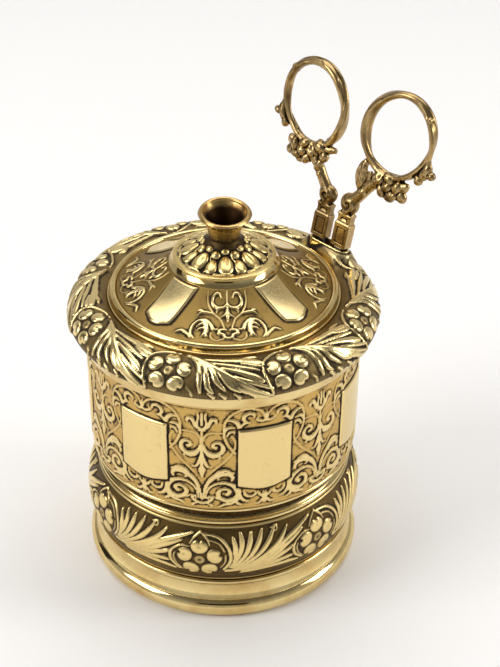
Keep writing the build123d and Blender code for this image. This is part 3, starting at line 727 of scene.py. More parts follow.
def near_slot(place):
    return np.clip((beyond_slot(in_slot(place), collar_half, collar_gap) - 0.5) / 1.6, 0, 1)


roll_mesh = chased_shell("chased_roll", roll_side, under, count=8, per_repeat=126, turn=24.3 - 45,
                         radius=roll_out - 3.7, draw=roll_pattern, hollow=0.7, fade=near_slot)

# %% open the slot and draw the metal up to its mouth
place, row = read(roll_mesh, "place"), read(roll_mesh, "row")
local = in_slot(place)
gap_to = beyond_slot(local, collar_half, collar_gap)
face_up = row < len(roll_side)
away = np.clip(gap_to, 0, 9)
ring_hides = 34.9                                 # inside this radius the dome's ring covers the sheet, mm
clear_of_ring = np.clip((np.hypot(place[:, 0], place[:, 1]) - ring_hides) / 1.2, 0, 1)
lift = np.exp(-away ** 2 / 5.0) * clear_of_ring
target = -0.35 - 0.1 * away
shift = np.where(face_up & (local[:, 1] < target), lift * (target - local[:, 1]), 0)
too_high = face_up & (local[:, 1] > target) & (gap_to < 2.2)
shift = np.where(too_high, lift * (target - local[:, 1]) * 0.8, shift)
place += shift[:, None] * np.array(slot_up[:])
write(roll_mesh, "place", place)
# a line of film and painted shade where the roll meets the collar, and a rubbed edge round it
write(roll_mesh, "cavity", np.maximum(read(roll_mesh, "cavity"), 0.22 * np.exp(-(away / 0.5) ** 2)))
rubbed_edge = np.where(face_up, 0.35 * np.exp(-((gap_to - 1.4) / 1.2) ** 2), 0)
write(roll_mesh, "relief", np.maximum(read(roll_mesh, "relief"), rubbed_edge))
bm = bmesh.new()
bm.from_mesh(roll_mesh)
holed = []
for f in bm.faces:
    middle = np.array(f.calc_center_median()[:])[None] / MM
    if middle[0, 0] > 18 and middle[0, 1] > 8:
        spot = in_slot(middle)
        if beyond_slot(spot, collar_half - 0.3, collar_gap - 0.3)[0] < 0:
            holed.append(f)
bmesh.ops.delete(bm, geom=holed, context="FACES")
bm.to_mesh(roll_mesh)
bm.free()
show(roll_mesh, "chased_roll", "lid", "chased_brass", roll_brass, "lid_rim")
print("faces opened for the slot:", len(holed))

# %% [markdown]
# ## The dome and the spout's plate
# Four plain shields stand on the dome, with a small scrolled motif between them. The plate at the
# top has a polished bead for an edge and a ring of fat petals on a dark stippled ground.

# %% the dome's pattern
ring_r, ring_low, ring_top = reach("dome_ring")
dome_foot = (ring_r - 2.75, ring_top - 0.6)
dome_head = (16.6, ring_top + 7.7)
dome_sag = ((dome_foot[0] + dome_head[0]) / 2, (dome_foot[1] + dome_head[1]) / 2 - 1.0)
DOME_R = 26.0                                     # radius at which the dome's pattern is measured round
SHIELD_HALF = 4.9


def dome_pattern(die):
    s, both = die.stroke, die.mirrored
    s([(0, 17.5), (0, 14.0), (0, 11.6)], (0.3, 0.35, 0.55), rise=0.4)
    both([(0.2, 13.4), (1.3, 12.4), (3.2, 12.2), (5.0, 13.0), (5.7, 14.8), (4.8, 16.5), (3.0, 16.6),
       (2.2, 15.4)], (0.35, 0.5, 0.6, 0.45, 0.3), rise=0.45)
    both([(1.6, 12.4), (3.4, 11.6), (3.5, 10.5)], (0.4, 0.4, 0.1), rise=0.45)
    s([(0, 12.8), (0, 10.4), (0, 7.4)], (0.25, 0.75, 0.1), rise=0.5)
    both([(0.1, 11.6), (0.8, 10.0), (2.1, 9.3)], (0.35, 0.4, 0.1), rise=0.45)
    both([(8.0, 17.0), (7.1, 13.6), (4.8, 10.5), (2.2, 8.4), (1.0, 5.4)],
      (0.22, 0.28, 0.3, 0.25), rise=0.32)
    both([(4.2, 10.0), (6.6, 10.5), (8.6, 10.2), (9.6, 9.0)], (0.2, 0.45, 0.45, 0.12), rise=0.42)
    both([(7.8, 10.4), (8.9, 11.0), (9.9, 10.7)], (0.3, 0.35, 0.1), rise=0.42)
    both([(8.4, 1.2), (9.7, 2.8), (10.0, 5.0), (8.9, 7.2), (6.8, 7.9), (4.9, 6.6), (4.0, 5.1), (2.8, 5.3)],
      (0.2, 0.35, 0.4, 0.6, 0.55, 0.12), rise=0.45)
    both([(7.4, 7.6), (6.2, 6.0), (6.0, 3.9), (6.8, 2.0)], (0.5, 0.85, 0.7, 0.12), rise=0.5)
    both([(6.6, 7.0), (7.9, 6.3), (8.7, 5.2)], (0.4, 0.45, 0.1), rise=0.45)
    both([(6.4, 5.4), (7.6, 4.9), (8.3, 4.0)], (0.4, 0.4, 0.1), rise=0.45)
    both([(6.0, 3.6), (5.6, 2.6), (5.2, 2.2)], (0.4, 0.35, 0.1), rise=0.45)
    both([(0.6, 5.0), (2.2, 4.9), (2.4, 3.8), (1.2, 3.4), (0.9, 2.4), (0, 2.1)],
      (0.4, 0.5, 0.4, 0.45), rise=0.45)
    both([(9.2, 1.2), (10.6, 2.6), (12.3, 3.2), (13.8, 1.8)], (0.2, 0.4, 0.5, 0.12), rise=0.42)
    both([(1.0, 2.0), (3.0, 1.2), (4.4, 2.2), (4.6, 3.8)], (0.25, 0.25, 0.15), rise=0.3)
    # the plain shield between two motifs keeps its width up the dome, while the repeat narrows
    top = die.y[-1]
    plate = die.period / 2
    wide = DOME_R / np.interp(die.y, (0, top), (dome_foot[0], dome_head[0]))
    x = np.abs(np.abs(die.x[:, None]) - plate) / wide[None, :]
    half = SHIELD_HALF - 0.25 * np.clip((6 - die.y[None, :]) / 4, 0, 1)
    share = x / SHIELD_HALF
    foot = 2.1 + 1.9 * np.clip(share, 0, 1) ** 2 * (1.2 - 0.2 * np.cos(share * 6.2))
    depth = np.minimum(np.minimum(half - x, top - 0.35 - die.y[None, :]), die.y[None, :] - foot)
    beside = (depth < 0) & (depth > -0.7)
    die.height[beside] = np.minimum(die.height[beside], -0.08)
    swell = 0.6 * np.sin(np.clip(depth / 0.6, 0, 1) * math.pi / 2)
    np.copyto(die.height, swell, where=depth > 0)
    die.height *= np.clip(np.minimum(die.y, top - die.y) / 0.4, 0, 1)[None, :]


dome_arc = arc(dome_foot, dome_sag, dome_head, 0.1)
dome_side = evenly(dome_arc, 60)
HOLE = 4.1                                        # radius of the hole for the spout's shank, mm
dome_inside = [(HOLE, dome_head[1]), (HOLE, dome_head[1] - SHEET), (dome_head[0] - 0.3, dome_head[1] - SHEET),
               *[(r - 0.4, z - 0.75) for r, z in evenly(dome_arc, 6)[::-1][1:-1]],
               (dome_foot[0] - 0.75, dome_foot[1] - 0.9), (dome_foot[0] - 0.75, ring_low),
               (dome_foot[0], ring_low)]
dome_mesh = chased_shell("chased_dome", dome_side, dome_inside, count=4, per_repeat=176, turn=2.5,
                         radius=DOME_R, draw=dome_pattern, hollow=0.5)
# the dome's hollows get a stronger film of old polish and painted shade
write(dome_mesh, "cavity", 1.7 * read(dome_mesh, "cavity"))
show(dome_mesh, "chased_dome", "lid", "chased_brass", dome_brass, "lid_dome")

# %% the spout's plate
_, plate_low, plate_top = reach("spout_plate")
plate_r = 15.4
bead_in = plate_r - 2.0


def plate_pattern(die):
    s = die.stroke
    # the repeat is one of eight: a fat petal with a smaller one between, and beads near the neck
    die.boss(0, 6.4, 2.2, 3.3, 1.15)
    die.sink(0.3, 7.4, 0.5, 1.8, 0.25)
    die.boss(die.period / 2, 5.6, 1.6, 2.6, 0.9)
    s([(-2.6, 3.2), (-1.2, 3.0), (0.4, 3.2), (1.6, 2.8)], (0.3, 0.5, 0.45, 0.15), rise=0.5)
    s([(2.6, 3.4), (3.4, 4.6), (3.2, 6.8), (2.2, 8.8)], (0.2, 0.45, 0.4, 0.15), rise=0.55)
    die.boss(die.period / 2, 9.7, 1.9, 1.4, 0.8)
    die.boss(0, 11.0, 1.9, 1.0, 0.7)
    s([(-1.2, 2.6), (-0.4, 1.9), (0.2, 1.4)], (0.35, 0.4, 0.3), rise=0.4)
    # stipple left by a round punch, half a millimetre apart
    waves = 12                                    # radians of the wave in a millimetre
    dots = 0.05 * np.cos(die.x[:, None] * waves) * np.cos(die.y[None, :] * waves)
    die.height += np.where(die.height < 0.1, dots, 0)
    die.height *= np.clip(np.minimum(die.y - 2.2, die.y[-1] - 0.6 - die.y) / 0.5, 0, 1)[None, :]


bead_top = (plate_r - 0.6, plate_low + 0.9)
bead_foot = (bead_in, plate_low + 0.7)
plate_line = joined(arc((plate_r, plate_low), (plate_r + 0.1, plate_low + 0.4), bead_top, 0.1),
                    arc(bead_top, (plate_r - 1.2, plate_low + 1.0), bead_foot, 0.1),
                    arc(bead_foot, (8.2, plate_low + 3.1), (4.6, plate_top), 0.1))
plate_side = evenly(plate_line, 58)
plate_inside = [(4.05, plate_top), (4.05, plate_low)]
plate_mesh = chased_shell("chased_plate", plate_side, plate_inside, count=8, per_repeat=48, turn=2.5,
                          radius=9.5, draw=plate_pattern, hollow=0.7)
place = read(plate_mesh, "place")
edge = np.hypot(place[:, 0], place[:, 1]) > bead_in
write(plate_mesh, "relief", np.where(edge, 0.5, read(plate_mesh, "relief")))
show(plate_mesh, "chased_plate", "lid", "chased_brass", plate_brass, "spout_plate")

# %% [markdown]
# ## Polished rings
# The foot, the mouldings, the lid's edge and the ring round the dome are plain turned work. Each
# is spun from its outline with a soft round on every corner, which catches a fine line of light.
# The value for hollows comes from the outline itself: how far it lies inside its own softened line. It lays the
# film of dirt and painted shade in the corners.

# %% spin the plain rings
def turned_piece(name, outline, body, node, columns=288, corner=0.12):
    """Spin a closed outline, round its corners and mark its hollows."""
    bm = turned_form(outline, 12, columns // 12)
    sharp = [e for e in bm.edges if e.is_manifold and e.calc_face_angle() > math.radians(32)]
    bmesh.ops.bevel(bm, geom=sharp, offset=corner * MM, offset_type="OFFSET", segments=2, profile=0.5,
                    affect="EDGES", material=-1, clamp_overlap=True)
    mesh = made_mesh(bm, name, smooth=True)
    # the outline at 600 even points, and the same line softened over 1.3 mm
    closed = np.array([*outline, outline[0]], float)
    fine = evenly(closed, 600)[:-1]
    facing = outward(fine)
    area = 0.5 * np.sum(fine[:, 0] * np.roll(fine[:, 1], -1) - np.roll(fine[:, 0], -1) * fine[:, 1])
    facing *= 1 if area > 0 else -1
    width_of = max(2.0, 1.3 / (lengths(closed)[-1] / 600))
    window = np.exp(-0.5 * (np.arange(-60, 61) / width_of) ** 2)
    window /= window.sum()
    loose = sum(w * np.roll(fine, k, axis=0) for w, k in zip(window, range(-60, 61)))
    # the hollows lay the brown film of dirt and the painted shade in the corners
    hollow = ((loose - fine) * facing).sum(1) * 1.7
    place = read(mesh, "place")
    flat = np.stack([np.hypot(place[:, 0], place[:, 1]), place[:, 2]], 1)
    spots, which = np.unique(flat.round(3), axis=0, return_inverse=True)
    nearest = np.array([np.argmin(((fine - p) ** 2).sum(1)) for p in spots])
    write(mesh, "cavity", hollow[nearest][which.ravel()])
    print(name, "triangles", 2 * len(mesh.polygons), "deepest hollow", round(float(hollow.max()), 2))
    return show(mesh, name, body, "polished_brass", ring_brass, node)


foot_r, foot_low, foot_top = reach("foot_ring")
turned_piece("foot_ring_turned", [(foot_r - 3.7, foot_low), (foot_r - 3.7, foot_top),
             *arc((foot_r - 1.8, foot_top), (foot_r, foot_top / 2), (foot_r - 1.8, foot_low), 0.3)],
             "box", "foot_ring")
cove = foot_r - 3.0
turned_piece("base_moulding_turned",
             joined(arc((foot_r - 1.8, foot_top), (cove, foot_top + 3.0), (cove + 0.1, base_low - 1.5), 0.3),
                    arc((cove + 0.8, base_low - 1.4), (cove + 1.2, base_low - 0.7), (cove + 0.8, base_low),
                        0.2),
                    [(cove - 0.8, base_low), (cove - 0.8, foot_top)]),
             "box", "base_moulding")
_, waist_low, waist_top = reach("waist_moulding")
head = wall_radius - 1.9
fillet = waist_top - 1.4
fillet_r = wall_radius - 0.4
turned_piece("waist_moulding_turned",
             joined(arc((head, waist_low), (head + 0.7, waist_low + 0.85), (head, waist_low + 1.7), 0.2),
                    arc((head, waist_low + 1.7), (head - 0.9, fillet - 2.4), (wall_radius - 1.4, fillet),
                        0.25),
                    arc((fillet_r, fillet), (fillet_r + 0.5, waist_top - 0.7), (fillet_r, waist_top), 0.2),
                    [(wall_radius - 3.8, waist_top), (head - 1.9, waist_low)]),
             "box", "waist_moulding")
edge_r, edge_low, edge_top = reach("lid_band")
edge_in = wall_radius + 0.3
turned_piece("lid_edge_turned",
             joined([(edge_in, edge_low), (edge_in, edge_top - 0.8), (wall_radius - 0.9, edge_top - 0.8),
                     (wall_radius - 0.9, edge_top)],
                    arc((edge_r, edge_top), (edge_r - 0.6, edge_top - 2.2), (edge_r - 1.1, edge_low), 0.25)),
             "lid", "lid_band")
ring_in = dome_foot[0] + 0.05
bead_out = ring_r - 0.7
turned_piece("dome_ring_turned",
             joined([(ring_r, ring_low), (ring_r, ring_top - 2.3), (ring_r - 0.4, ring_top - 2.3)],
                    arc((bead_out, ring_top - 1.1), ((bead_out + ring_in) / 2, ring_top),
                        (ring_in, ring_top - 1.1), 0.15),
                    [(ring_in, ring_low)]),
             "lid", "dome_ring")
_, skirt_low, skirt_top = reach("spout_collar")
turned_piece("spout_skirt_turned",
             joined([(HOLE, skirt_low)],
                    arc((dome_head[0], skirt_low + 0.5), (plate_r + 0.4, skirt_low + 1.2),
                        (plate_r - 0.4, skirt_top), 0.2),
                    [(HOLE, skirt_top)]),
             "lid", "spout_collar", 192)

# %% [markdown]
# ## The spout
# A small trumpet, beaten out by hand: its throat is dark, its rim a thick roll that is no longer
# quite round, and its neck shows the planishing hammer. It is spun, then pushed out of true.

# %% the spout
_, spout_low, spout_high = reach("spout")
neck = plate_top
BORE, SHANK, LIP = 3.0, 4.0, 7.2                  # radii of the bore, the shank and the lip's crest, mm
lip_in, lip_out = (LIP - 0.7, spout_high - 0.7), (LIP + 0.7, spout_high - 0.7)
spout_line = joined([(SHANK, neck), (SHANK, spout_low), (BORE, spout_low)],
                    [(BORE, z) for z in np.linspace(spout_low, neck + 0.8, 8)],
                    arc((BORE, neck + 0.8), (4.2, neck + 4.3), lip_in, 0.22),
                    arc(lip_in, (LIP, spout_high), lip_out, 0.12),
                    arc(lip_out, (5.5, neck + 4.1), (4.6, neck), 0.22))
spout_mesh = made_mesh(turned_form(spout_line, 8, 18), "trumpet_spout", smooth=True)
place, row = read(spout_mesh, "place"), read(spout_mesh, "row")
angle = np.arctan2(place[:, 0], -place[:, 1])
height = np.clip((place[:, 2] - neck) / (spout_high - neck), 0, 1)
around = 1 + height ** 2 * (0.030 * np.cos(2 * angle - 0.6) + 0.024 * np.cos(3 * angle + 1.0))
outer = row > len(spout_line) * 0.62
up = place[:, 2]
dents = np.where(outer, 0.05 * np.cos(7 * angle + 2.2 * up) * np.cos(1.7 * up - 3 * angle), 0)
lip_roll = np.clip((height - 0.84) / 0.08, 0, 1) * np.where(outer, 0.45, -0.05)
size = np.hypot(place[:, 0], place[:, 1]) * around + dents + lip_roll
place[:, 0], place[:, 1] = size * np.sin(angle), -size * np.cos(angle)
# the mouth tips forward, and its rim waves a little
place[:, 2] += height ** 2 * (0.20 * np.cos(2 * angle + 0.8) - 0.75 * np.cos(angle) - 0.75)
write(spout_mesh, "place", place)
# painted shade: the film deepens down the throat, where less light reaches; the outside grows darker towards the
# neck
throat_film_and_shade = np.where(outer, 0.02, 0.10 + 0.5 * np.clip(1 - (height - 0.55) / 0.35, 0, 1))
neck_darkening = np.where(outer, 0.30 * np.clip(1 - height / 0.8, 0, 1), 0)
write(spout_mesh, "cavity", np.where(height > 0.9, 0.0, throat_film_and_shade + neck_darkening))
show(spout_mesh, "trumpet_spout", "lid", "polished_brass", spout_brass, "spout")
print("spout triangles", 2 * len(spout_mesh.polygons))

# %% [markdown]
# ## Scissor handles
# The handles are cast brass, chased after casting. Each has a block with a sunk panel, a scroll,
# a leafy cluster, and a bow twisted like a ribbon. The masses are swept along curves and joined
# by a fine remesh, which leaves the soft inner corners that a casting has.

# %% helpers for the castings
def world_from_slot(points):
    """Points in the scissors' own directions (along, up, out), in mm, to places in mm."""
    return points @ slot_turn + np.array(slot_mouth[:]) / MM


def swept(points, radii, flat=1.0, closed=False, sides=4):
    """A round bar along a soft curve, as a mesh. flat squeezes it across the scissors' plane."""
    curve = bpy.data.curves.new("bar", "CURVE")
    curve.dimensions = "3D"
    curve.bevel_depth = 1.0
    curve.bevel_resolution = sides
    curve.use_fill_caps = True
    curve.resolution_u = 10
    line = curve.splines.new("NURBS")
    line.points.add(len(points) - 1)
    for k, (x, y, z) in enumerate(points):
        line.points[k].co = (x, y, z, 1)
        line.points[k].radius = float(np.interp(k, np.linspace(0, len(points) - 1, len(radii)), radii))
    line.use_cyclic_u = closed
    line.order_u = 4
    line.use_endpoint_u = not closed
    holder = bpy.data.objects.new("bar", curve)
    mesh = bpy.data.meshes.new_from_object(holder)
    bpy.data.objects.remove(holder)
    bpy.data.curves.remove(curve)
    co = np.empty(len(mesh.vertices) * 3)
    mesh.vertices.foreach_get("co", co)
    co = co.reshape(-1, 3)
    middle = np.array(points)[:, 2].mean()
    co[:, 2] = middle + (co[:, 2] - middle) * flat
    mesh.vertices.foreach_set("co", co.ravel())
    return mesh


def lump(x, y, z, rx, ry, rz, turn=0.0):
    """A rounded mass, such as one petal of a cluster, as a mesh."""
    bm = bmesh.new()
    bmesh.ops.create_icosphere(bm, subdivisions=3, radius=1.0)
    bmesh.ops.scale(bm, vec=(rx, ry, rz), verts=bm.verts)
    bmesh.ops.rotate(bm, cent=(0, 0, 0), matrix=Matrix.Rotation(turn, 3, "Z"), verts=bm.verts)
    bmesh.ops.translate(bm, vec=(x, y, z), verts=bm.verts)
    return made_mesh(bm, "lump")


def panel_block(x0, x1, y0, y1, half):
    """The block above the slot, with a grooved frame round a sunk panel on both faces."""
    bm = bmesh.new()
    bmesh.ops.create_cube(bm, size=1.0)
    bmesh.ops.scale(bm, vec=(x1 - x0, y1 - y0, 2 * half), verts=bm.verts)
    bmesh.ops.translate(bm, vec=((x0 + x1) / 2, (y0 + y1) / 2, 0), verts=bm.verts)
    # width and depth of each step in, from the block's edge to the middle of the panel
    steps = ((0.45, 0.0), (0.40, -0.65), (0.10, 0.65), (0.60, 0.0), (0.15, -0.7), (0.35, 0.0), (0.15, 0.5))
    for sign in (1, -1):
        face = [f for f in bm.faces if f.normal.z * sign > 0.9]
        for wide, deep in steps:
            bmesh.ops.inset_individual(bm, faces=face, thickness=wide, depth=deep)
    return made_mesh(bm, "block")


# %% one handle, drawn for the right half and mirrored for the left
BOW = (16.4, 41.7)
BOW_HALF = (11.7, 12.9)
BOW_LEAN = math.radians(26)


def bow_point(angle, grow=0.0):
    """A place on the bow's middle line; angle 0 is its outer side."""
    u, v = (BOW_HALF[0] + grow) * math.cos(angle), (BOW_HALF[1] + grow) * math.sin(angle)
    return (BOW[0] + u * math.cos(BOW_LEAN) + v * math.sin(BOW_LEAN),
            BOW[1] - u * math.sin(BOW_LEAN) + v * math.cos(BOW_LEAN))


def handle_mesh(name, side):
    """The masses of one casting, fused. side is 1 for the right half and -1 for the left."""
    parts = [panel_block(1.3, 7.1, 0.8, 8.4, 1.7), panel_block(1.7, 6.7, 8.4, 11.6, 1.3)]

    def bar(*shape, **options):
        parts.append(swept(*shape, **options))

    def ball(*shape):
        parts.append(lump(*shape))

    bar([(1.6, 8.5, 0), (6.8, 8.5, 0)], (0.7, 0.7), 2.4)
    bar([(1.6, 11.5, 0), (6.8, 11.5, 0)], (0.75, 0.75), 2.2)
    bar([(4.2, 11.0, 0), (4.4, 13.8, 0)], (2.3, 2.3), 0.7)
    # the scroll on the block: a disc with a raised snail on each face
    ball(4.4, 15.2, 0, 3.5, 3.5, 1.8)
    for face in (1, -1):
        snail = []
        for k in range(8):
            a, size = math.radians(50 * k - 90), 2.5 - 0.26 * k
            snail.append((4.4 + size * math.cos(a), 15.2 + size * math.sin(a), face * (1.35 + 0.06 * k)))
        bar(snail, (0.7, 0.6, 0.55), 0.9)
    # stem from the scroll to the cluster, with a leaf that stands up beside the bow
    bar([(5.2, 16.6, 0), (7.0, 18.8, 0), (8.6, 21.2, 0), (10.2, 23.8, 0), (12.4, 26.0, 0),
         (15.0, 27.8, 0)], (2.1, 1.9, 1.8, 2.0, 2.2), 0.85)
    if side > 0:
        bar([(8.6, 20.0, 0.2), (6.9, 22.4, 0.3), (6.0, 25.2, 0.3), (6.2, 28.2, 0.2),
             (7.2, 30.8, 0)], (1.2, 2.0, 2.3, 1.9, 0.9), 0.55)
        bar([(7.4, 22.6, 1.0), (6.6, 25.4, 1.2), (7.0, 29.0, 0.9)], (0.6, 0.9, 0.5), 0.7)
    else:
        ball(10.4, 29.6, 0.5, 2.6, 2.2, 1.8, 0.5)
        ball(8.4, 27.2, 0.6, 1.7, 1.9, 1.5)
        bar([(9.5, 29.0, 0), (7.0, 30.0, 0), (4.4, 30.4, 0)], (1.7, 1.4, 0.8), 0.9)
        ball(9.8, 23.8, 0.8, 1.5, 2.4, 1.2, 0.4)
    bar([(10.0, 22.6, 0.3), (10.2, 25.4, 0.5), (9.2, 28.0, 0.3)], (1.2, 1.5, 0.9), 0.6)
    ball(8.6, 21.0, 0.9, 1.3, 1.2, 1.1)
    # leafy cluster under the bow: a boss with leaves folded round it
    ball(16.9, 26.2, 0, 5.4, 3.7, 1.6, 0.1)
    for k in range(5):
        a = math.radians(20 + 72 * k)
        ball(16.9 + 3.5 * math.cos(a), 26.2 + 2.4 * math.sin(a), 0.8, 2.2, 1.5, 1.5, a + 0.9)
    ball(16.9, 26.2, 1.2, 1.9, 1.6, 1.4, 0.4)
    ball(12.6, 27.6, 0.2, 2.4, 1.9, 1.7, 0.9)
    ball(21.6, 24.8, 0, 2.4, 1.9, 1.4, -0.6)
    ball(21.8, 27.6, 0.1, 2.4, 1.7, 1.3, 0.7)
    ball(17.4, 22.9, 0.1, 2.2, 1.4, 1.3, -0.3)
    # knop on the outer side of the bow
    x, y = bow_point(math.radians(-4), 1.7)
    ball(x, y, 0, 1.8, 3.3, 1.6, -0.45)
    ball(x + 2.3, y - 0.2, 0, 1.5, 1.3, 1.3, 0.3)
    bar([(x - 0.4, y + 1.6, 0), (x + 0.5, y + 3.6, 0), (x - 0.4, y + 5.4, 0)],
        (1.4, 1.1, 0.6), 0.9)
    ball(x - 1.7, y - 2.7, 0.2, 1.5, 1.9, 1.5, 0.4)
    # bead higher up on the bow
    ball(*bow_point(math.radians(67), 0.4), 0.7, 0.9, 1.1, 1.3, 0.6)
    # the bow itself, deeper across the scissors' plane than it is wide
    turns = np.linspace(0, math.tau, 24, endpoint=False)
    ring = [(*bow_point(a, 0.2 - 0.25 * math.cos(a)), 0) for a in turns]
    ring_half = [1.22 - 0.22 * math.cos(a) for a in np.linspace(0, math.tau, 13)]
    bar(ring, ring_half, 1.3, closed=True, sides=6)
    bm = bmesh.new()
    for part in parts:
        bm.from_mesh(part)
        bpy.data.meshes.remove(part)
    if side < 0:
        bmesh.ops.scale(bm, vec=(-1, 1, 1), verts=bm.verts)
        bmesh.ops.reverse_faces(bm, faces=bm.faces)
        # the left casting is a little shorter in the stem, and its bow is narrower
        for vert in bm.verts:
            vert.co.y -= 1.5 * min(max((vert.co.y - 14) / 10, 0), 1)
            vert.co.x -= 0.03 * (BOW[0] + vert.co.x) * min(max((vert.co.y - 26) / 3, 0), 1)
    rough = made_mesh(bm, name + "_rough")
    holder = bpy.data.objects.new(name + "_rough", rough)
    bpy.context.scene.collection.objects.link(holder)
    fuse = holder.modifiers.new("fuse", "REMESH")
    fuse.mode = "VOXEL"
    fuse.voxel_size = 0.21
    fuse.use_smooth_shade = True
    ease = holder.modifiers.new("ease", "SMOOTH")
    ease.factor = 0.5
    ease.iterations = 2
    graph = bpy.context.evaluated_depsgraph_get()
    mesh = bpy.data.meshes.new_from_object(holder.evaluated_get(graph))
    mesh.name = name
    bpy.data.objects.remove(holder)
    bpy.data.meshes.remove(rough)
    return mesh


# %% chase the castings: the ribbon's twist and the cut lines of the leaves
def finish_handle(name, side, body, node):
    """Twist the bow, cut the leaves, move the casting to its place and mark its hollows."""
    mesh = handle_mesh(name, side)
    count = len(mesh.vertices)
    co, no = np.empty(count * 3), np.empty(count * 3)
    mesh.vertices.foreach_get("co", co)
    mesh.vertex_normals.foreach_get("vector", no)
    co, no = co.reshape(-1, 3), no.reshape(-1, 3)
    x, y = co[:, 0] * side - BOW[0], co[:, 1] - BOW[1]
    u = x * math.cos(BOW_LEAN) - y * math.sin(BOW_LEAN)
    v = x * math.sin(BOW_LEAN) + y * math.cos(BOW_LEAN)
    turn = np.arctan2(v / BOW_HALF[1], u / BOW_HALF[0])
    radial = (np.hypot(u / BOW_HALF[0], v / BOW_HALF[1]) - 1) * 12.0
    on_bow = np.clip((2.0 - np.abs(radial)) / 0.5, 0, 1) * np.clip((co[:, 1] - 28.5) / 2.0, 0, 1)
    about = np.arctan2(co[:, 2], radial)
    wave = np.cos(2 * about - 4 * turn)
    twist = 0.24 * np.sign(wave) * np.abs(wave) ** 0.6
    leaf = (1 - on_bow) * np.clip((co[:, 1] - 21.5) / 2.0, 0, 1)
    cut = 0.06 * np.cos(3.4 * co[:, 0] + 1.6 * co[:, 1]) * np.cos(0.8 * co[:, 0] - 1.5 * co[:, 1])
    rise = on_bow * twist + leaf * cut
    co += no * rise[:, None]
    here = world_from_slot(co)
    write(mesh, "place", here)
    bm = bmesh.new()
    bm.from_mesh(mesh)
    bmesh.ops.recalc_face_normals(bm, faces=bm.faces)
    bm.verts.ensure_lookup_table()
    pairs = np.array([[e.verts[0].index, e.verts[1].index] for e in bm.edges])
    bm.to_mesh(mesh)
    bm.free()
    # hollows: places that lie inward of the average of their neighbours
    degree = np.bincount(pairs.ravel(), minlength=count).astype(float)[:, None]
    soft = here.copy()
    for _ in range(14):
        total = np.zeros_like(soft)
        np.add.at(total, pairs[:, 0], soft[pairs[:, 1]])
        np.add.at(total, pairs[:, 1], soft[pairs[:, 0]])
        soft = 0.5 * soft + 0.5 * total / degree
    normal = np.empty(count * 3)
    mesh.vertex_normals.foreach_get("vector", normal)
    hollow = ((soft - here) * normal.reshape(-1, 3)).sum(1)
    # deep hollows take the brown film of old lacquer and painted shade
    write(mesh, "cavity", hollow * 3.6)
    mesh.shade_smooth()
    print(name, "points", count, "deepest hollow", round(float(hollow.max()), 2))
    return show(mesh, name, body, "cast_brass", cast_brass, node)


finish_handle("right_handle_cast", 1, "right_half", "right_handle")
finish_handle("left_handle_cast", -1, "left_half", "left_handle")

# %% [markdown]
# ## Pieces that keep their CAD shape
# The blades, the screw, the sheath and the nut are simple flat or turned work, so the CAD shapes
# stay, and take finishes of worn steel and dull rolled brass.

# %% finishes on the CAD pieces
for node, finish in {"bottom_plate": inside_brass, "sheath": inside_brass, "spout_washer": inside_brass,
                     "spout_nut": inside_brass, "slot_collar": ring_brass, "pivot_screw": steel,
                     "left_blade": steel, "right_blade": steel}.items():
    for place_for in frame["nodes"][node].material_slots:
        place_for.material = finish
print("CAD pieces finished")

# %% [markdown]
# ## The table, the light and the camera
# The box stands on white paper that runs up behind it. A large soft light above and a smaller
# one at the left do most of the work, and dark cards out of sight give the polished metal its
# dark edges.

# %% the paper sweep
def matt_finish(name, shade, rough):
    made, _, shader, _ = new_finish(name)
    shader.inputs["Base Color"].default_value = colour(shade)
    shader.inputs["Roughness"].default_value = rough
    return made


bm = bmesh.new()
BEND = 0.5                                        # radius of the bend between table and wall, metres
side_line = [(-2.5, 0.0), (0.9, 0.0)]
side_line += [(0.9 + BEND * math.sin(a), BEND - BEND * math.cos(a)) for a in np.radians(range(10, 91, 10))]
side_line.append((0.9 + BEND, 2.4))
line = [bm.verts.new((-2.5, y, z)) for y, z in side_line]
for a, b in zip(line[:-1], line[1:]):
    bm.edges.new((a, b))
made = bmesh.ops.extrude_edge_only(bm, edges=bm.edges[:])
far_side = [v for v in made["geom"] if isinstance(v, bmesh.types.BMVert)]
bmesh.ops.translate(bm, vec=(5.0, 0, 0), verts=far_side)
bmesh.ops.recalc_face_normals(bm, faces=bm.faces)
sweep_mesh = made_mesh(bm, "paper_sweep", smooth=True)
sweep_mesh.materials.append(matt_finish("white_paper", "#F3F1EF", 0.85))
sweep = bpy.data.objects.new("paper_sweep", sweep_mesh)
bpy.context.scene.collection.objects.link(sweep)


# %% lights
def soft_light(name, place, aim, size, power):
    """A square soft box at place, turned to face aim."""
    lamp = bpy.data.lights.new(name, "AREA")
    lamp.shape = "RECTANGLE"
    lamp.size, lamp.size_y = size
    lamp.energy = power
    holder = bpy.data.objects.new(name, lamp)
    holder.location = place
    holder.rotation_euler = (Vector(aim) - Vector(place)).to_track_quat("-Z", "Y").to_euler()
    bpy.context.scene.collection.objects.link(holder)


MIDDLE = (0, 0, 0.07)                             # the middle of the box, which the lights face, metres
soft_light("top_soft_box", (0.0, 0.30, 1.15), (0, 0.05, 0.08), (1.3, 0.8), 8.6)
soft_light("key_soft_box", (-0.95, -0.35, 0.75), MIDDLE, (0.6, 0.6), 7.2)
soft_light("fill_soft_box", (1.05, -0.10, 0.55), MIDDLE, (0.4, 0.6), 4.8)

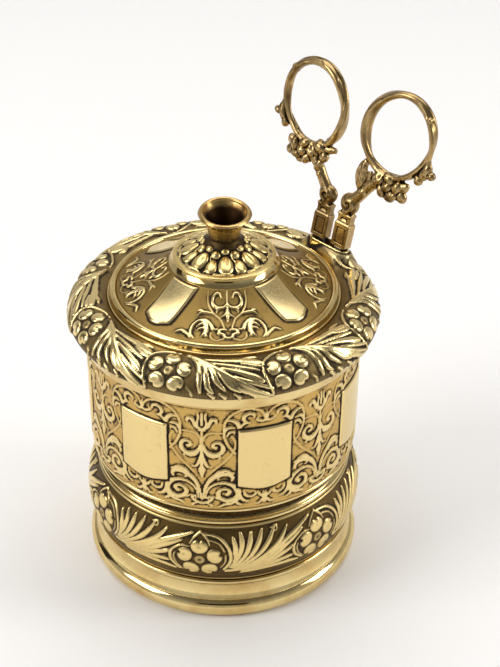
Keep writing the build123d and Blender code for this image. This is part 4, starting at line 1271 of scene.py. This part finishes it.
# the room: brighter low down, where its walls are, than overhead
world = bpy.data.worlds.new("studio")
bpy.context.scene.world = world
world.use_nodes = True
room = world.node_tree
background = room.nodes["Background"]
heading = add(room, "ShaderNodeTexCoord").outputs["Generated"]
split = add(room, "ShaderNodeSeparateXYZ", None, Vector=heading)
room.links.new(ramp(room, split.outputs["Z"], 0.15, 0.75, 0.52, 0.16), background.inputs["Strength"])
background.inputs["Color"].default_value = colour("#FFFFFF")


def dark_card(name, place, aim, size, shade):
    """A matt card that the camera doesn't see, but the metal does."""
    bm = bmesh.new()
    bmesh.ops.create_grid(bm, x_segments=1, y_segments=1, size=0.5)
    bmesh.ops.scale(bm, vec=(size[0], size[1], 1), verts=bm.verts)
    turn = (Vector(aim) - Vector(place)).to_track_quat("-Z", "Y").to_matrix().to_4x4()
    bmesh.ops.transform(bm, matrix=Matrix.Translation(place) @ turn, verts=bm.verts)
    mesh = made_mesh(bm, name)
    mesh.materials.append(matt_finish(name, shade, 1.0))
    card = bpy.data.objects.new(name, mesh)
    card.visible_camera = False
    card.visible_shadow = False
    card.visible_diffuse = False
    bpy.context.scene.collection.objects.link(card)


dark_card("card_camera_side", (0.0, -0.95, 0.55), MIDDLE, (0.7, 0.30), "#15110D")
dark_card("card_left", (-0.8, 0.25, 0.25), MIDDLE, (0.25, 0.6), "#1C1712")

# %% [markdown]
# The camera looks down from the front by about 34 degrees, through a long lens. The Standard view
# transform keeps the gilt colour: the default one pales bright, warm colours.

# %% the camera
bpy.context.scene.view_settings.view_transform = "Standard"
lens = bpy.data.cameras.new("view")
lens.sensor_width = 36.0
lens.lens = 78.41
lens.clip_start, lens.clip_end = 0.01, 20.0
view = bpy.data.objects.new("view", lens)
bpy.context.scene.collection.objects.link(view)
turn_side, turn_down, tilt = 0.021492, 0.587553, 0.015397
forward = Vector((math.sin(turn_side) * math.cos(turn_down), math.cos(turn_side) * math.cos(turn_down),
                  -math.sin(turn_down)))
level = Vector((math.cos(turn_side), -math.sin(turn_side), 0))
upright = level.cross(forward)
right = math.cos(tilt) * level + math.sin(tilt) * upright
top = math.cos(tilt) * upright - math.sin(tilt) * level
view.matrix_world = Matrix(((right.x, top.x, -forward.x, 0.0), (right.y, top.y, -forward.y, -0.371994),
                            (right.z, top.z, -forward.z, 0.325530), (0, 0, 0, 1)))
bpy.context.scene.camera = view
print("camera", lens.lens, "mm, looking down", round(math.degrees(turn_down), 1), "degrees")
